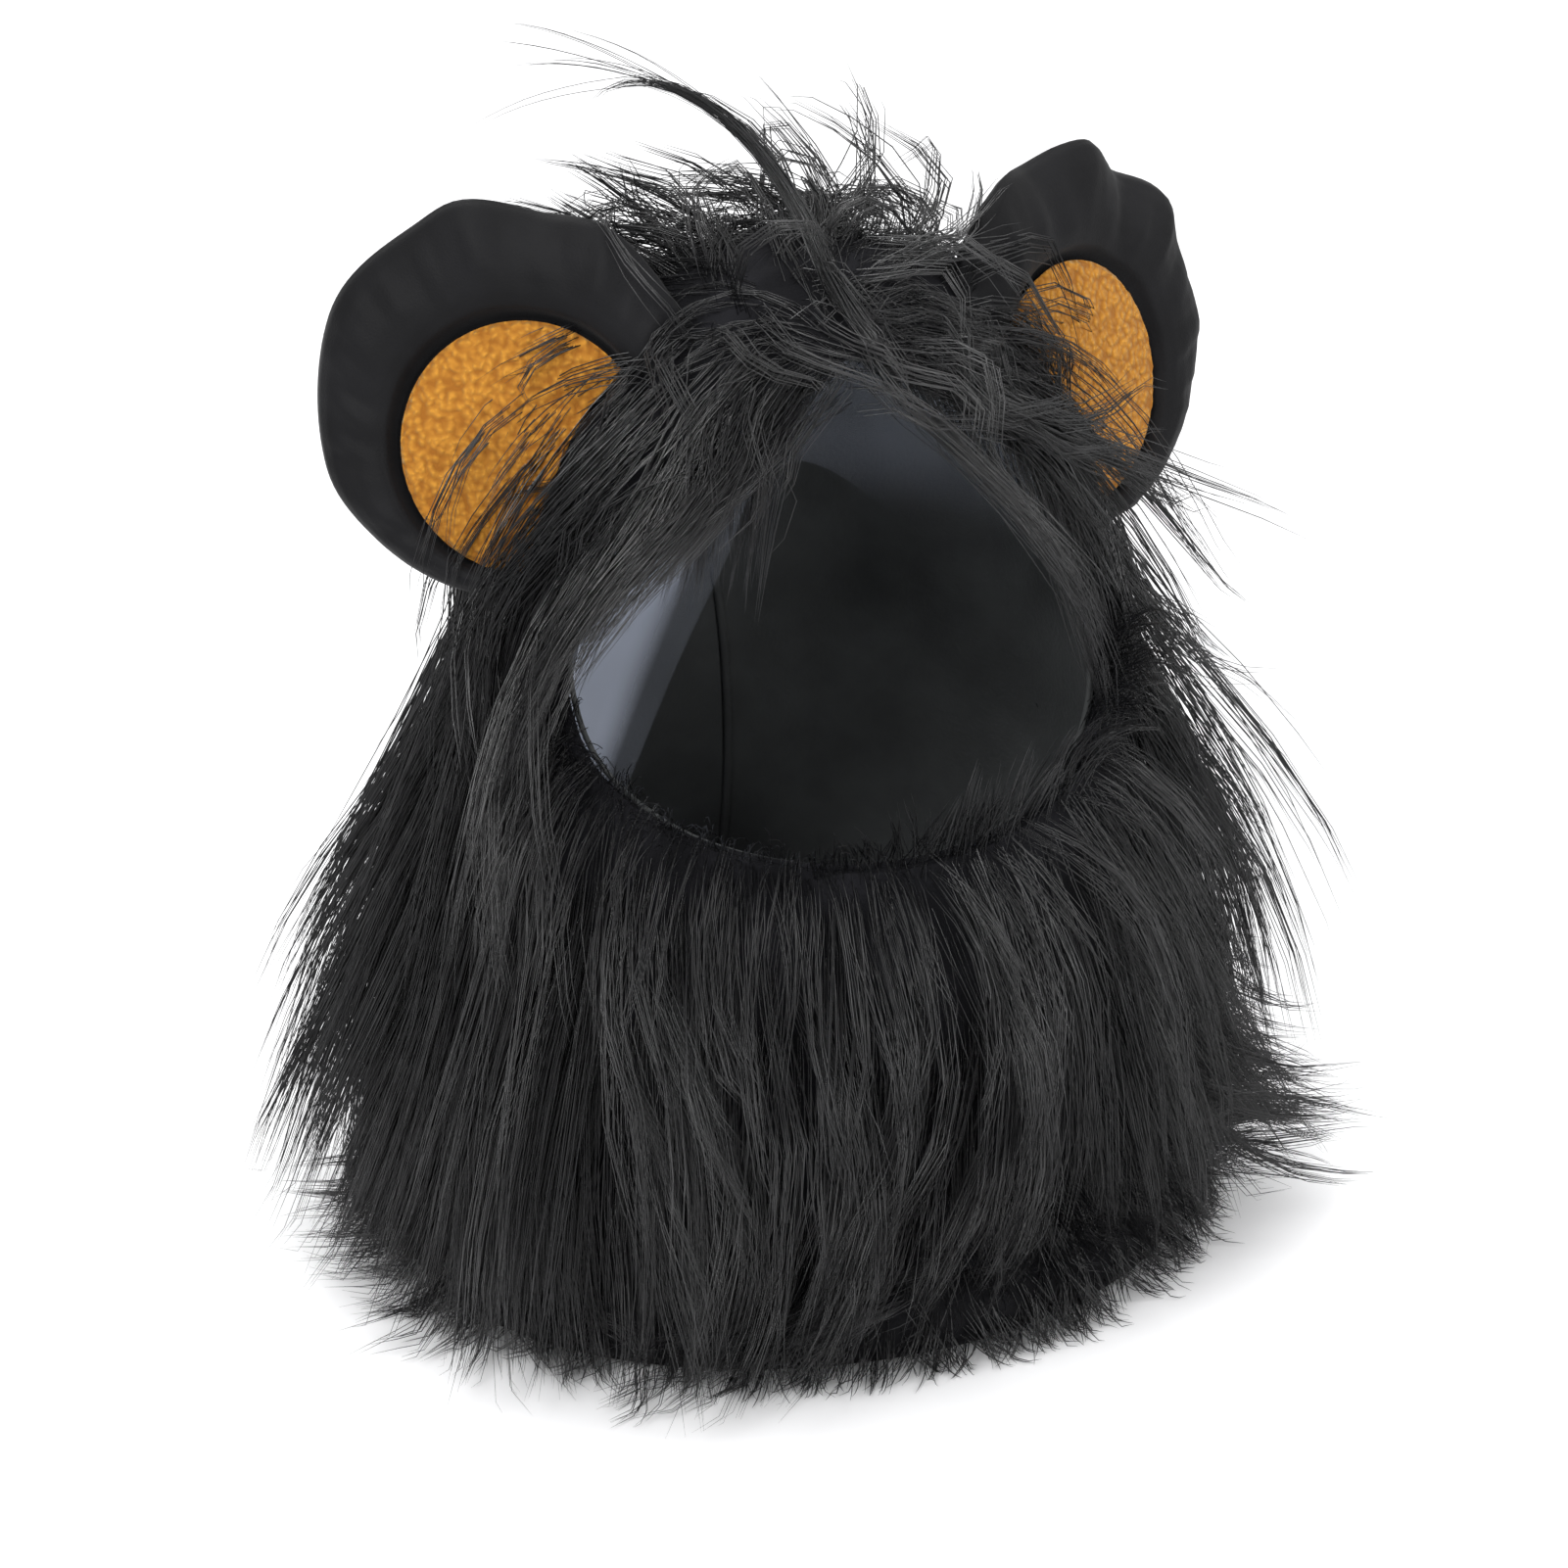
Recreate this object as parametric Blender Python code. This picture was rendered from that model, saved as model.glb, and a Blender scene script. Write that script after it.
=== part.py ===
"""A lion mane wig for a cat or a small dog: a lined fur-cloth hood with a face opening, two round ears, a long mane
and a rolled neck hem, held open from inside by a bent clear sheet.

The hood stands on its hem and faces -Y. +Z is up, and the origin is on the surface under the middle of the whole
object. Left and right are as seen from the front, so left is -X.
"""

import math
import random

import bmesh
import bpy
from mathutils import Vector

# Hood cloth, in metres. The heights are above the surface that the wig stands on.
HOOD_TOP = 0.214
HOOD_WIDTH = 0.154
HOOD_FRONT = 0.063  # from the middle to the foremost cloth
HOOD_BACK = 0.063
SHELL_WALL = 0.0025
LINING_WALL = 0.0012
BACKING_WALL = 0.0016  # the ground of the fur with its dense underwool, under the locks
LAYER_GAP = 0.0005  # between two layers that are sewn together
PANEL_SEAM = 0.0008  # between two fur panels

# Face opening
FACE_WIDTH = 0.114
FACE_BOTTOM = 0.105
FACE_TOP = 0.200
LINING_SETBACK = 0.003  # how far the lining's edge stays behind the rim of the opening

# Rolled hem round the neck
HEM_HEIGHT = 0.016
HEM_DEPTH = 0.018  # across the roll, from inside the neck to outside

# Ears
EAR_RADIUS = 0.0385
EAR_THICKNESS = 0.010
EAR_SPREAD = 0.0595  # from the middle plane to the ear's centre
EAR_SET_BACK = 0.001  # behind the middle of the hood
EAR_CENTRE_HEIGHT = 0.188
EAR_TURN = math.radians(30)  # how far the ear's face turns outwards
EAR_LEAN = math.radians(12)  # how far it leans back
EAR_SEAT_GAP = 0.0004
INNER_EAR_RADIUS = 0.0252
INNER_EAR_THICKNESS = 0.0026
INNER_EAR_DROP = 0.0085  # below the ear's centre
INNER_EAR_INWARD = 0.0040
EAR_DISH = 0.0035  # how deep the inner ear sits behind the rim

# Mane
CROWN_SEAM_HEIGHT = 0.150
BIB_HALF_ANGLE = math.radians(48)
BACK_HALF_ANGLE = math.radians(48)
LOCK_THICKNESS = 0.0042
LOCK_TIP_RISE = 0.003  # the lowest tips of the mane above the top of the hem
LOCK_WIDTH_SHARE = 0.86  # of the spacing of the locks in a row
FORELOCK_RADIUS = 0.0026
FORELOCK_LENGTH = 0.084

# Bent clear sheet inside
SHEET_WALL = 0.0008
SHEET_BOTTOM = 0.022
SHEET_FRONT_ANGLE = math.radians(72)  # its two free edges stand this far round from the front

AROUND = 30  # columns of the hood's grid
RISE = 9  # rows of the hood's grid, from the hem to the crown

# Sections of the hood: height, width, front and back, as shares of HOOD_TOP, half of HOOD_WIDTH, HOOD_FRONT and
# HOOD_BACK.
HOOD_SECTIONS = (
    (0.000, 0.974, 0.970, 0.954),
    (0.140, 1.000, 1.000, 1.000),
    (0.327, 0.974, 0.970, 1.000),
    (0.490, 0.909, 0.924, 0.969),
    (0.654, 0.818, 0.818, 0.923),
    (0.794, 0.714, 0.697, 0.846),
    (0.888, 0.584, 0.561, 0.723),
    (0.953, 0.377, 0.364, 0.477),
    (0.986, 0.195, 0.182, 0.246),
    (1.000, 0.000, 0.000, 0.000),
)

# One side of the face opening: height from FACE_BOTTOM to FACE_TOP and half width, as shares.
FACE_OUTLINE = (
    (0.000, 0.000),
    (0.015, 0.340),
    (0.075, 0.700),
    (0.180, 0.930),
    (0.320, 1.000),
    (0.480, 0.965),
    (0.640, 0.830),
    (0.790, 0.610),
    (0.910, 0.340),
    (1.000, 0.000),
)

# The window between the clear sheet's two legs, seen from the front: across and up, as shares of HOOD_WIDTH and
# HOOD_TOP.
SHEET_WINDOW = (
    (-0.240, 0.050),
    (-0.175, 0.290),
    (-0.085, 0.450),
    (0.010, 0.600),
    (0.055, 0.690),
    (0.140, 0.705),
    (0.290, 0.610),
    (0.375, 0.500),
    (0.410, 0.280),
    (0.410, 0.050),
)

# Gathers of each ear's edge: place round the ear from its top, clockwise as seen from the front, in degrees; how far
# the edge stands out, as a share of EAR_RADIUS; how far the cloth stands forward, as a share of EAR_THICKNESS; and
# the width of the fold in degrees.
EAR_FOLDS = {
    "left": (
        (-118, 0.020, 0.10, 14),
        (-60, 0.025, 0.12, 16),
        (-16, 0.045, 0.22, 11),
        (8, -0.030, -0.16, 10),
        (30, 0.035, 0.18, 12),
    ),
    "right": (
        (-32, 0.050, 0.26, 12),
        (-8, -0.035, -0.20, 9),
        (14, 0.035, 0.28, 10),
        (36, -0.030, -0.20, 9),
        (56, 0.040, 0.24, 11),
        (96, 0.020, 0.12, 13),
    ),
}

# Sections across an ear, from the middle of its face over the rim to the middle of its back: how far out, where 0
# to 1 is the inner ear and 1 to 2 is the rim round it; and forward of the mid plane as a share of half of
# EAR_THICKNESS, after the dish is taken off where the last column is 1.
EAR_SECTIONS = (
    (0.60, 1.00, 1),
    (1.03, 1.00, 1),
    (1.12, 0.90, 0),
    (1.45, 1.20, 0),
    (1.85, 0.75, 0),
    (2.00, 0.00, 0),
    (1.80, -0.80, 0),
    (1.00, -1.00, 0),
)

# Rows of locks on each fur panel: root height and tip height as shares of HOOD_TOP, how far the tips stand off the
# cloth in metres, and how many locks there are.
SIDE_ROWS = (
    (0.670, 0.330, 0.019, 7),
    (0.520, 0.190, 0.023, 7),
    (0.320, 0.020, 0.026, 8),
)
BACK_ROWS = (
    (0.670, 0.330, 0.012, 7),
    (0.520, 0.190, 0.015, 7),
    (0.320, 0.020, 0.017, 8),
)
BIB_ROWS = (
    (0.460, 0.240, 0.015, 8),
    (0.340, 0.120, 0.019, 8),
    (0.220, 0.020, 0.022, 8),
)
CROWN_ROWS = (
    (0.988, 0.962, 0.017, 6),
    (0.968, 0.880, 0.016, 9),
    (0.930, 0.740, 0.016, 14),
)
CROWN_PARTING = math.radians(34)  # how far the crown's locks swing away from the front by their tips
# Locks along each side of the face opening, on the crown and below it: where the root and the tip are between the
# bottom and the top of the opening as shares of its height, then in metres how far the middle lies outside the
# opening's edge, how wide the lock is and how far its tip stands off the cloth.
BROW_LOCKS = (
    (0.96, 0.70, 0.005, 0.015, 0.011),
    (0.88, 0.62, 0.004, 0.019, 0.013),
    (0.76, 0.52, 0.003, 0.018, 0.013),
)
CHEEK_LOCKS = (
    (0.44, 0.17, 0.003, 0.017, 0.013),
    (0.34, 0.16, 0.006, 0.015, 0.012),
)
LEFT_EDGE_BARE = 0.001  # the left side's locks lie this much further from the opening
HEM_LOCKS = 26
HEM_LOCK_REACH = 0.011  # past the roll, along the surface

# The forelock's bend: height and sideways sway at even steps, as shares of its length.
FORELOCK_BEND = (
    (0.00, 0.00),
    (0.17, -0.03),
    (0.32, -0.09),
    (0.43, -0.16),
    (0.51, -0.25),
    (0.55, -0.34),
    (0.55, -0.43),
    (0.50, -0.50),
)
FORELOCK_RAKE = math.radians(34)  # how far it leans back from upright


def catmull_rom(before, start, end, after, share):
    """A point between start and end on the smooth curve through four rows of numbers."""
    return [
        0.5
        * (
            2 * b
            + (c - a) * share
            + (2 * a - 5 * b + 4 * c - d) * share**2
            + (3 * b - a - 3 * c + d) * share**3
        )
        for a, b, c, d in zip(before, start, end, after)
    ]


def along(rows, place):
    """The smooth curve through rows, at place from 0 to 1."""
    last = len(rows) - 1
    step = min(int(place * last), last - 1)
    before = rows[max(step - 1, 0)]
    after = rows[min(step + 2, last)]
    return catmull_rom(before, rows[step], rows[step + 1], after, place * last - step)


def rise_at(height):
    """How far up the hood's profile, from 0 to 1, its cloth is at this height above the surface."""
    low, high = 0.0, 1.0
    for _ in range(40):
        middle = (low + high) / 2
        if along(HOOD_SECTIONS, middle)[0] * HOOD_TOP < height:
            low = middle
        else:
            high = middle
    return (low + high) / 2


def cloth_point(angle, rise):
    """A point of the hood's cloth face: angle round from the front towards +X, rise up the profile."""
    height, width, front, back = along(HOOD_SECTIONS, max(0.0, min(1.0, rise)))
    depth = front * HOOD_FRONT if math.cos(angle) > 0 else back * HOOD_BACK
    return Vector((
        width * HOOD_WIDTH / 2 * math.sin(angle),
        -depth * math.cos(angle),
        height * HOOD_TOP,
    ))


def cloth_normal(angle, rise):
    """The direction straight out of the cloth there."""
    step = 0.004
    if rise > 1 - step:
        return Vector((0, 0, 1))
    across = cloth_point(angle + step, rise) - cloth_point(angle - step, rise)
    up = cloth_point(angle, rise + step) - cloth_point(angle, rise - step)
    return across.cross(up).normalized()


def off_cloth(angle, rise, distance):
    """A point at this distance outside the cloth face, or inside it where the distance is negative."""
    return cloth_point(angle, rise) + cloth_normal(angle, rise) * distance


HEM_LINE = HEM_HEIGHT + LAYER_GAP  # where the hood's layers start, just above the rolled hem
LOWEST_RISE = rise_at(HEM_LINE)
BACKING_IN = LAYER_GAP
BACKING_OUT = LAYER_GAP + BACKING_WALL
LINING_OUT = -SHELL_WALL - LAYER_GAP
LINING_IN = LINING_OUT - LINING_WALL
SHEET_OUT = LINING_IN - LAYER_GAP
SHEET_IN = SHEET_OUT - SHEET_WALL


def rises_between(low, high):
    """The grid's rows from low to high, both among them."""
    rows = [LOWEST_RISE + (1 - LOWEST_RISE) * i / RISE for i in range(RISE + 1)]
    nearest = 0.3 / RISE
    return [low] + [r for r in rows if low + nearest < r < high - nearest] + [high]


def angles_between(start, end):
    """The grid's columns from start to end, both among them."""
    step = 2 * math.pi / AROUND
    nearest = 0.3 * step
    columns = [i * step for i in range(-AROUND, 2 * AROUND)]
    return [start] + [c for c in columns if start + nearest < c < end - nearest] + [end]


def new_object(name, mesh, material=None):
    thing = bpy.data.objects.new(name, mesh)
    bpy.context.scene.collection.objects.link(thing)
    if material:
        mesh.materials.append(material)
    return thing


def mesh_from(name, build):
    """A mesh whose faces point outwards, from a bmesh that build fills."""
    shape = bmesh.new()
    build(shape)
    bmesh.ops.recalc_face_normals(shape, faces=shape.faces)
    mesh = bpy.data.meshes.new(name)
    shape.to_mesh(mesh)
    shape.free()
    return mesh


def smooth(thing, sharp_degrees=40):
    thing.data.shade_smooth()
    thing.data.set_sharp_from_angle(angle=math.radians(sharp_degrees))


def loft(shape, rings, start_cap=True, end_cap=True):
    """Faces between rings of points. A ring of one point is a pole."""
    made = [[shape.verts.new(p) for p in ring] for ring in rings]
    for lower, upper in zip(made, made[1:]):
        count = max(len(lower), len(upper))
        for i in range(count):
            corners = [lower[i % len(lower)], lower[(i + 1) % len(lower)]]
            corners += [upper[(i + 1) % len(upper)], upper[i % len(upper)]]
            shape.faces.new(dict.fromkeys(corners))
    if start_cap and len(made[0]) > 1:
        shape.faces.new(made[0][::-1])
    if end_cap and len(made[-1]) > 1:
        shape.faces.new(made[-1])


def dome_wall(name, inner, outer, low_rise):
    """A closed wall right round the hood and over its crown, between two distances from the cloth face."""
    step = 2 * math.pi / AROUND
    rises = rises_between(low_rise, 1.0)[:-1]

    def rings(distance):
        return [[off_cloth(i * step, r, distance) for i in range(AROUND)] for r in rises]

    pole_out = [off_cloth(0, 1.0, outer)]
    pole_in = [off_cloth(0, 1.0, inner)]

    def build(shape):
        loop = [pole_in] + rings(inner)[::-1] + rings(outer) + [pole_out]
        loft(shape, loop)

    return mesh_from(name, build)


def panel_wall(name, start, end, low_rise, high_rise, inner, outer):
    """A closed wall over part of the hood, from angle start to end."""
    angles = angles_between(start, end)
    rises = rises_between(low_rise, high_rise)

    def build(shape):
        rings = []
        for rise in rises:
            front = [off_cloth(a, rise, outer) for a in angles]
            behind = [off_cloth(a, rise, inner) for a in reversed(angles)]
            rings.append(front + behind)
        made = [[shape.verts.new(p) for p in ring] for ring in rings]
        for lower, upper in zip(made, made[1:]):
            for i in range(len(lower)):
                j = (i + 1) % len(lower)
                shape.faces.new((lower[i], lower[j], upper[j], upper[i]))
        for ring in (made[0], made[-1]):
            for i in range(len(angles) - 1):
                shape.faces.new((ring[i], ring[i + 1], ring[-2 - i], ring[-1 - i]))

    return mesh_from(name, build)


def solid_dome(name, outer):
    """The filled shape of the hood out to a distance from its cloth face, for cutting what sits on it."""
    step = 2 * math.pi / AROUND
    rises = rises_between(0.0, 1.0)[:-1]

    def build(shape):
        rings = [[off_cloth(i * step, r, outer) for i in range(AROUND)] for r in rises]
        loft(shape, rings + [[off_cloth(0, 1.0, outer)]])

    return mesh_from(name, build)


def prism_along_y(name, outline, near, far):
    """A closed prism over an outline of (x, z) points, from y = near to y = far."""
    return mesh_from(
        name,
        lambda shape: loft(shape, [[Vector((x, y, z)) for x, z in outline] for y in (near, far)]),
    )


def face_outline(grow=0.0):
    """The face opening's outline as (x, z) points, grown by a distance."""
    half = FACE_WIDTH / 2 + grow
    bottom, top = FACE_BOTTOM - grow, FACE_TOP + grow
    right = [(w * half, bottom + h * (top - bottom)) for h, w in FACE_OUTLINE]
    left = [(-x, z) for x, z in right[-2:0:-1]]
    return right + left


def face_half_width(share):
    """Half of the face opening's width at a height between its bottom and its top."""
    for (low, low_width), (high, high_width) in zip(FACE_OUTLINE, FACE_OUTLINE[1:]):
        if share <= high:
            return (low_width + (high_width - low_width) * (share - low) / (high - low)) * FACE_WIDTH / 2
    return 0.0


def in_face_opening(point, margin):
    """True where a point on the front of the hood lies in the face opening or within margin of it."""
    share = (point.z - FACE_BOTTOM) / (FACE_TOP - FACE_BOTTOM)
    near = margin / (FACE_TOP - FACE_BOTTOM)
    if point.y > 0 or not -near < share < 1 + near:
        return False
    return abs(point.x) < face_half_width(max(0.0, min(1.0, share))) + margin


def combined(name, base, others, operation):
    """The mesh of base after one Boolean with all the others. The helpers are removed."""
    body = new_object(name, base)
    helpers = bpy.data.collections.new(name + "_helpers")
    bpy.context.scene.collection.children.link(helpers)
    for mesh in others:
        helpers.objects.link(bpy.data.objects.new(mesh.name, mesh))
    boolean = body.modifiers.new("join", "BOOLEAN")
    boolean.operation = operation
    boolean.solver = "EXACT"
    boolean.operand_type = "COLLECTION"
    boolean.collection = helpers
    bpy.context.view_layer.update()
    evaluated = body.evaluated_get(bpy.context.evaluated_depsgraph_get())
    result = bpy.data.meshes.new_from_object(evaluated)
    result.name = name
    for helper in list(helpers.objects):
        bpy.data.objects.remove(helper)
    bpy.data.collections.remove(helpers)
    bpy.data.objects.remove(body)
    result.materials.clear()
    return result


def fused(name, base, others):
    return combined(name, base, others, "UNION") if others else base


def cut(name, base, others):
    return combined(name, base, others, "DIFFERENCE")


def plain_material(name, colour, roughness, alpha=1.0):
    material = bpy.data.materials.new(name)
    material.use_nodes = True
    shader = material.node_tree.nodes["Principled BSDF"]
    shader.inputs["Base Color"].default_value = (*colour, 1)
    shader.inputs["Roughness"].default_value = roughness
    shader.inputs["Metallic"].default_value = 0.0
    shader.inputs["Alpha"].default_value = alpha
    return material


def face_cutter(grow=0.0):
    """The prism that opens the face, from well in front of the hood to just short of its middle."""
    front = -2 * HOOD_FRONT - HEM_DEPTH
    return prism_along_y("face_cutter", face_outline(grow), front, -0.06 * HOOD_FRONT)


def hood_shell():
    wall = dome_wall("hood_shell", -SHELL_WALL, 0.0, LOWEST_RISE)
    return cut("hood_shell", wall, [face_cutter()])


def lining():
    wall = dome_wall("lining", LINING_IN, LINING_OUT, LOWEST_RISE)
    return cut("lining", wall, [face_cutter(LINING_SETBACK)])


def clear_sheet():
    """A sheet bent round the inside of the back and cut away between its two legs."""
    start, end = SHEET_FRONT_ANGLE, 2 * math.pi - SHEET_FRONT_ANGLE
    top = rise_at(0.955 * HOOD_TOP)
    wall = panel_wall("clear_sheet", start, end, rise_at(SHEET_BOTTOM), top, SHEET_IN, SHEET_OUT)
    window = [(x * HOOD_WIDTH, z * HOOD_TOP) for x, z in SHEET_WINDOW]
    cutter = prism_along_y("sheet_window", window, 0.1 * HOOD_BACK, 2 * HOOD_BACK)
    return cut("clear_sheet", wall, [cutter])


def ear_axes(side):
    """The ear's centre, and its directions outwards, upwards and forwards. side is -1 for left and 1 for right."""
    centre = Vector((side * EAR_SPREAD, EAR_SET_BACK, EAR_CENTRE_HEIGHT))
    outward = Vector((side * math.cos(EAR_TURN), math.sin(EAR_TURN), 0))
    level_face = Vector((side * math.sin(EAR_TURN), -math.cos(EAR_TURN), 0))
    forward = level_face * math.cos(EAR_LEAN) + Vector((0, 0, 1)) * math.sin(EAR_LEAN)
    upward = Vector((0, 0, 1)) * math.cos(EAR_LEAN) - level_face * math.sin(EAR_LEAN)
    return centre, outward, upward, forward


def ear_fold(turn, folds, column):
    """The sum of the gathers at turn radians clockwise from the ear's top, as seen from the front."""
    total = 0.0
    for fold in folds:
        away = (math.degrees(turn) - fold[0] + 180) % 360 - 180
        total += fold[column] * math.exp(-((away / fold[3]) ** 2))
    return total


def ear_point(side, turn, out, forward_share, dished, folds):
    """A point of the ear. out is 0 at the middle of the inner ear, 1 at its edge and 2 at the ear's edge."""
    centre, outward, upward, forward = ear_axes(side)
    across = math.sin(turn) * side  # clockwise as seen from the front runs towards +X at the top
    direction = outward * across + upward * math.cos(turn)
    inner_middle = centre - outward * INNER_EAR_INWARD - upward * INNER_EAR_DROP
    edge = centre + direction * EAR_RADIUS * (1 + ear_fold(turn, folds, 1))
    inner = inner_middle + direction * INNER_EAR_RADIUS
    if out <= 1:
        point = inner_middle + (inner - inner_middle) * out
    else:
        point = inner + (edge - inner) * (out - 1)
    puff = forward_share * EAR_THICKNESS / 2
    ripple = ear_fold(turn, folds, 2) * EAR_THICKNESS * max(0.0, out - 1)
    return point + forward * (puff + ripple - dished * EAR_DISH)


def ear(side, word):
    """A padded round ear with gathered edge and a dished face, cut to sit on the fur of the hood."""
    folds = EAR_FOLDS[word]
    count = 32
    turns = [2 * math.pi * i / count for i in range(count)]

    def build(shape):
        rings = [[ear_point(side, 0, 0, EAR_SECTIONS[0][1], 1, folds)]]
        for out, forward_share, dished in EAR_SECTIONS:
            rings.append([ear_point(side, t, out, forward_share, dished, folds) for t in turns])
        rings.append([ear_point(side, 0, 0, EAR_SECTIONS[-1][1], 0, folds)])
        loft(shape, rings)

    name = "ear_" + word
    seat = solid_dome("ear_seat", BACKING_OUT + EAR_SEAT_GAP)
    return cut(name, mesh_from(name, build), [seat])


def inner_ear(side, word):
    """A domed fleece disc that lies in the ear's dish."""
    folds = ()
    count = 28
    turns = [2 * math.pi * i / count for i in range(count)]
    floor_share = EAR_SECTIONS[0][1]
    rim_clear = LAYER_GAP + 0.0004
    forward = ear_axes(side)[3]
    # out, how far in front of the dish's floor
    sections = (
        (0.00, LAYER_GAP),
        (0.90 - rim_clear / INNER_EAR_RADIUS, LAYER_GAP),
        (1.00 - rim_clear / INNER_EAR_RADIUS, LAYER_GAP + 0.45 * INNER_EAR_THICKNESS),
        (0.88, LAYER_GAP + 0.80 * INNER_EAR_THICKNESS),
        (0.50, LAYER_GAP + INNER_EAR_THICKNESS),
        (0.00, LAYER_GAP + 1.05 * INNER_EAR_THICKNESS),
    )

    def build(shape):
        rings = []
        for out, lift in sections:
            ring = turns if out else turns[:1]
            rings.append([ear_point(side, t, out, floor_share, 1, folds) + forward * lift for t in ring])
        loft(shape, rings)

    name = "inner_ear_" + word
    seat = solid_dome("inner_ear_seat", BACKING_OUT + EAR_SEAT_GAP)
    return cut(name, mesh_from(name, build), [seat])


def meets_ear(point, clearance):
    """True where a point of a lock would come within clearance of an ear."""
    for side in (-1, 1):
        centre, _, _, forward = ear_axes(side)
        away = point - centre
        ahead = away.dot(forward)
        aside = (away - forward * ahead).length
        if abs(ahead) < EAR_THICKNESS * 0.75 + clearance and aside < EAR_RADIUS * 1.06 + clearance:
            return True
    return False


def lock(path, outward, widths, thicknesses):
    """A tapering lock with a ridged three-sided section that follows path and ends in a point."""

    def build(shape):
        rings = []
        for i, point in enumerate(path[:-1]):
            run = (path[i + 1] - path[max(i - 1, 0)]).normalized()
            across = run.cross(outward[i]).normalized() * widths[i] / 2
            ridge = across.cross(run).normalized() * thicknesses[i]
            if ridge.dot(outward[i]) < 0:
                ridge = -ridge
            rings.append([point - across, point + across, point + ridge])
        loft(shape, rings + [[path[-1]]])

    return mesh_from("lock", build)


LOCK_STEPS = (0.0, 0.16, 0.45, 0.78, 1.0)
LOCK_WIDTHS = (0.75, 1.0, 0.95, 0.62)
LOCK_THICKNESSES = (0.9, 1.0, 0.9, 0.6)


def hanging_lock(angle, root, tip, stand_off, width, sway):
    """A lock that follows the hood down from height root to height tip. None where it would run into an ear or
    grow out of the face opening."""
    path, outward = [], []
    sunk = LAYER_GAP + 0.35 * BACKING_WALL  # the root starts inside the backing
    for step in LOCK_STEPS:
        height = max(root + (tip - root) * step, 0.0)
        here = angle + sway * step**2
        rise = rise_at(height)
        point = off_cloth(here, rise, sunk + (stand_off - sunk) * step**0.8)
        point.z = max(point.z, HEM_HEIGHT + LOCK_TIP_RISE)
        path.append(point)
        outward.append(cloth_normal(here, rise))
    if any(meets_ear(p, LOCK_THICKNESS + width / 2) for p in path):
        return None
    if any(in_face_opening(p, width / 2) for p in path):
        return None
    widths = [width * share for share in LOCK_WIDTHS]
    thicknesses = [LOCK_THICKNESS * share for share in LOCK_THICKNESSES]
    return lock(path, outward, widths, thicknesses)


def locks_in_rows(rows, start, end, seed, mirror=1, parting=0.0):
    """The locks of one fur panel between two angles. A mirrored panel has the same locks the other way round, and
    a parting swings the tips away from the front."""
    draw = random.Random(seed)
    made = []
    for root_share, tip_share, stand_off, count in rows:
        pitch = (end - start) / count
        for i in range(count):
            angle = start + pitch * (i + 0.5)
            root = root_share * HOOD_TOP
            tip = (tip_share + 0.03 * draw.random()) * HOOD_TOP
            reach = stand_off * (0.85 + 0.3 * draw.random())
            width = LOCK_WIDTH_SHARE * pitch * cloth_point(math.pi / 2, rise_at(root)).x
            sway = pitch * 0.5 * (1 - LOCK_WIDTH_SHARE * 0.5) * (draw.random() - 0.5)
            sway += parting * math.cos(angle / 2) * math.copysign(1, math.pi - angle)
            made.append(hanging_lock(mirror * angle, root, tip, reach, width, mirror * sway))
    return [m for m in made if m]


def edge_lock(side, root, tip, aside, width, stand_off):
    """A lock that lies along one side of the face opening, partly over it. None where it would run into an ear."""
    path, outward = [], []
    if side < 0:
        aside += LEFT_EDGE_BARE
    sunk = LAYER_GAP + 0.35 * BACKING_WALL
    for step in LOCK_STEPS:
        share = root + (tip - root) * step
        height = FACE_BOTTOM + share * (FACE_TOP - FACE_BOTTOM)
        rise = rise_at(height)
        reach = (face_half_width(share) + aside) / cloth_point(math.pi / 2, rise).x
        angle = side * math.asin(min(reach, 0.98))
        path.append(off_cloth(angle, rise, sunk + (stand_off - sunk) * step**0.8))
        outward.append(cloth_normal(angle, rise))
    if any(meets_ear(p, LOCK_THICKNESS) for p in path):
        return None
    widths = [width * share for share in LOCK_WIDTHS]
    return lock(path, outward, widths, [LOCK_THICKNESS * share for share in LOCK_THICKNESSES])


def seam_angle():
    """Half of the gap between two panels, as an angle at the hood's side."""
    return PANEL_SEAM / HOOD_WIDTH


def mane_side(side, word):
    start = BIB_HALF_ANGLE + seam_angle()
    end = math.pi - BACK_HALF_ANGLE - seam_angle()
    low, high = LOWEST_RISE, rise_at(CROWN_SEAM_HEIGHT - PANEL_SEAM / 2)
    first, last = (start, end) if side > 0 else (-end, -start)
    name = "mane_" + word
    wall = panel_wall(name, first, last, low, high, BACKING_IN, BACKING_OUT)
    backing = cut(name, wall, [face_cutter()])
    locks = locks_in_rows(SIDE_ROWS, start, end, 11, side)
    locks += [edge_lock(side, *row) for row in CHEEK_LOCKS]
    return fused(name, backing, [made for made in locks if made])


def mane_back():
    start = math.pi - BACK_HALF_ANGLE + seam_angle()
    end = math.pi + BACK_HALF_ANGLE - seam_angle()
    high = rise_at(CROWN_SEAM_HEIGHT - PANEL_SEAM / 2)
    wall = panel_wall("mane_back", start, end, LOWEST_RISE, high, BACKING_IN, BACKING_OUT)
    return fused("mane_back", wall, locks_in_rows(BACK_ROWS, start, end, 23))


def mane_bib():
    end = BIB_HALF_ANGLE - seam_angle()
    high = rise_at(FACE_BOTTOM + 0.04 * HOOD_TOP)
    wall = panel_wall("mane_bib", -end, end, LOWEST_RISE, high, BACKING_IN, BACKING_OUT)
    backing = cut("mane_bib", wall, [face_cutter()])
    return fused("mane_bib", backing, locks_in_rows(BIB_ROWS, -end, end, 37))


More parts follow.
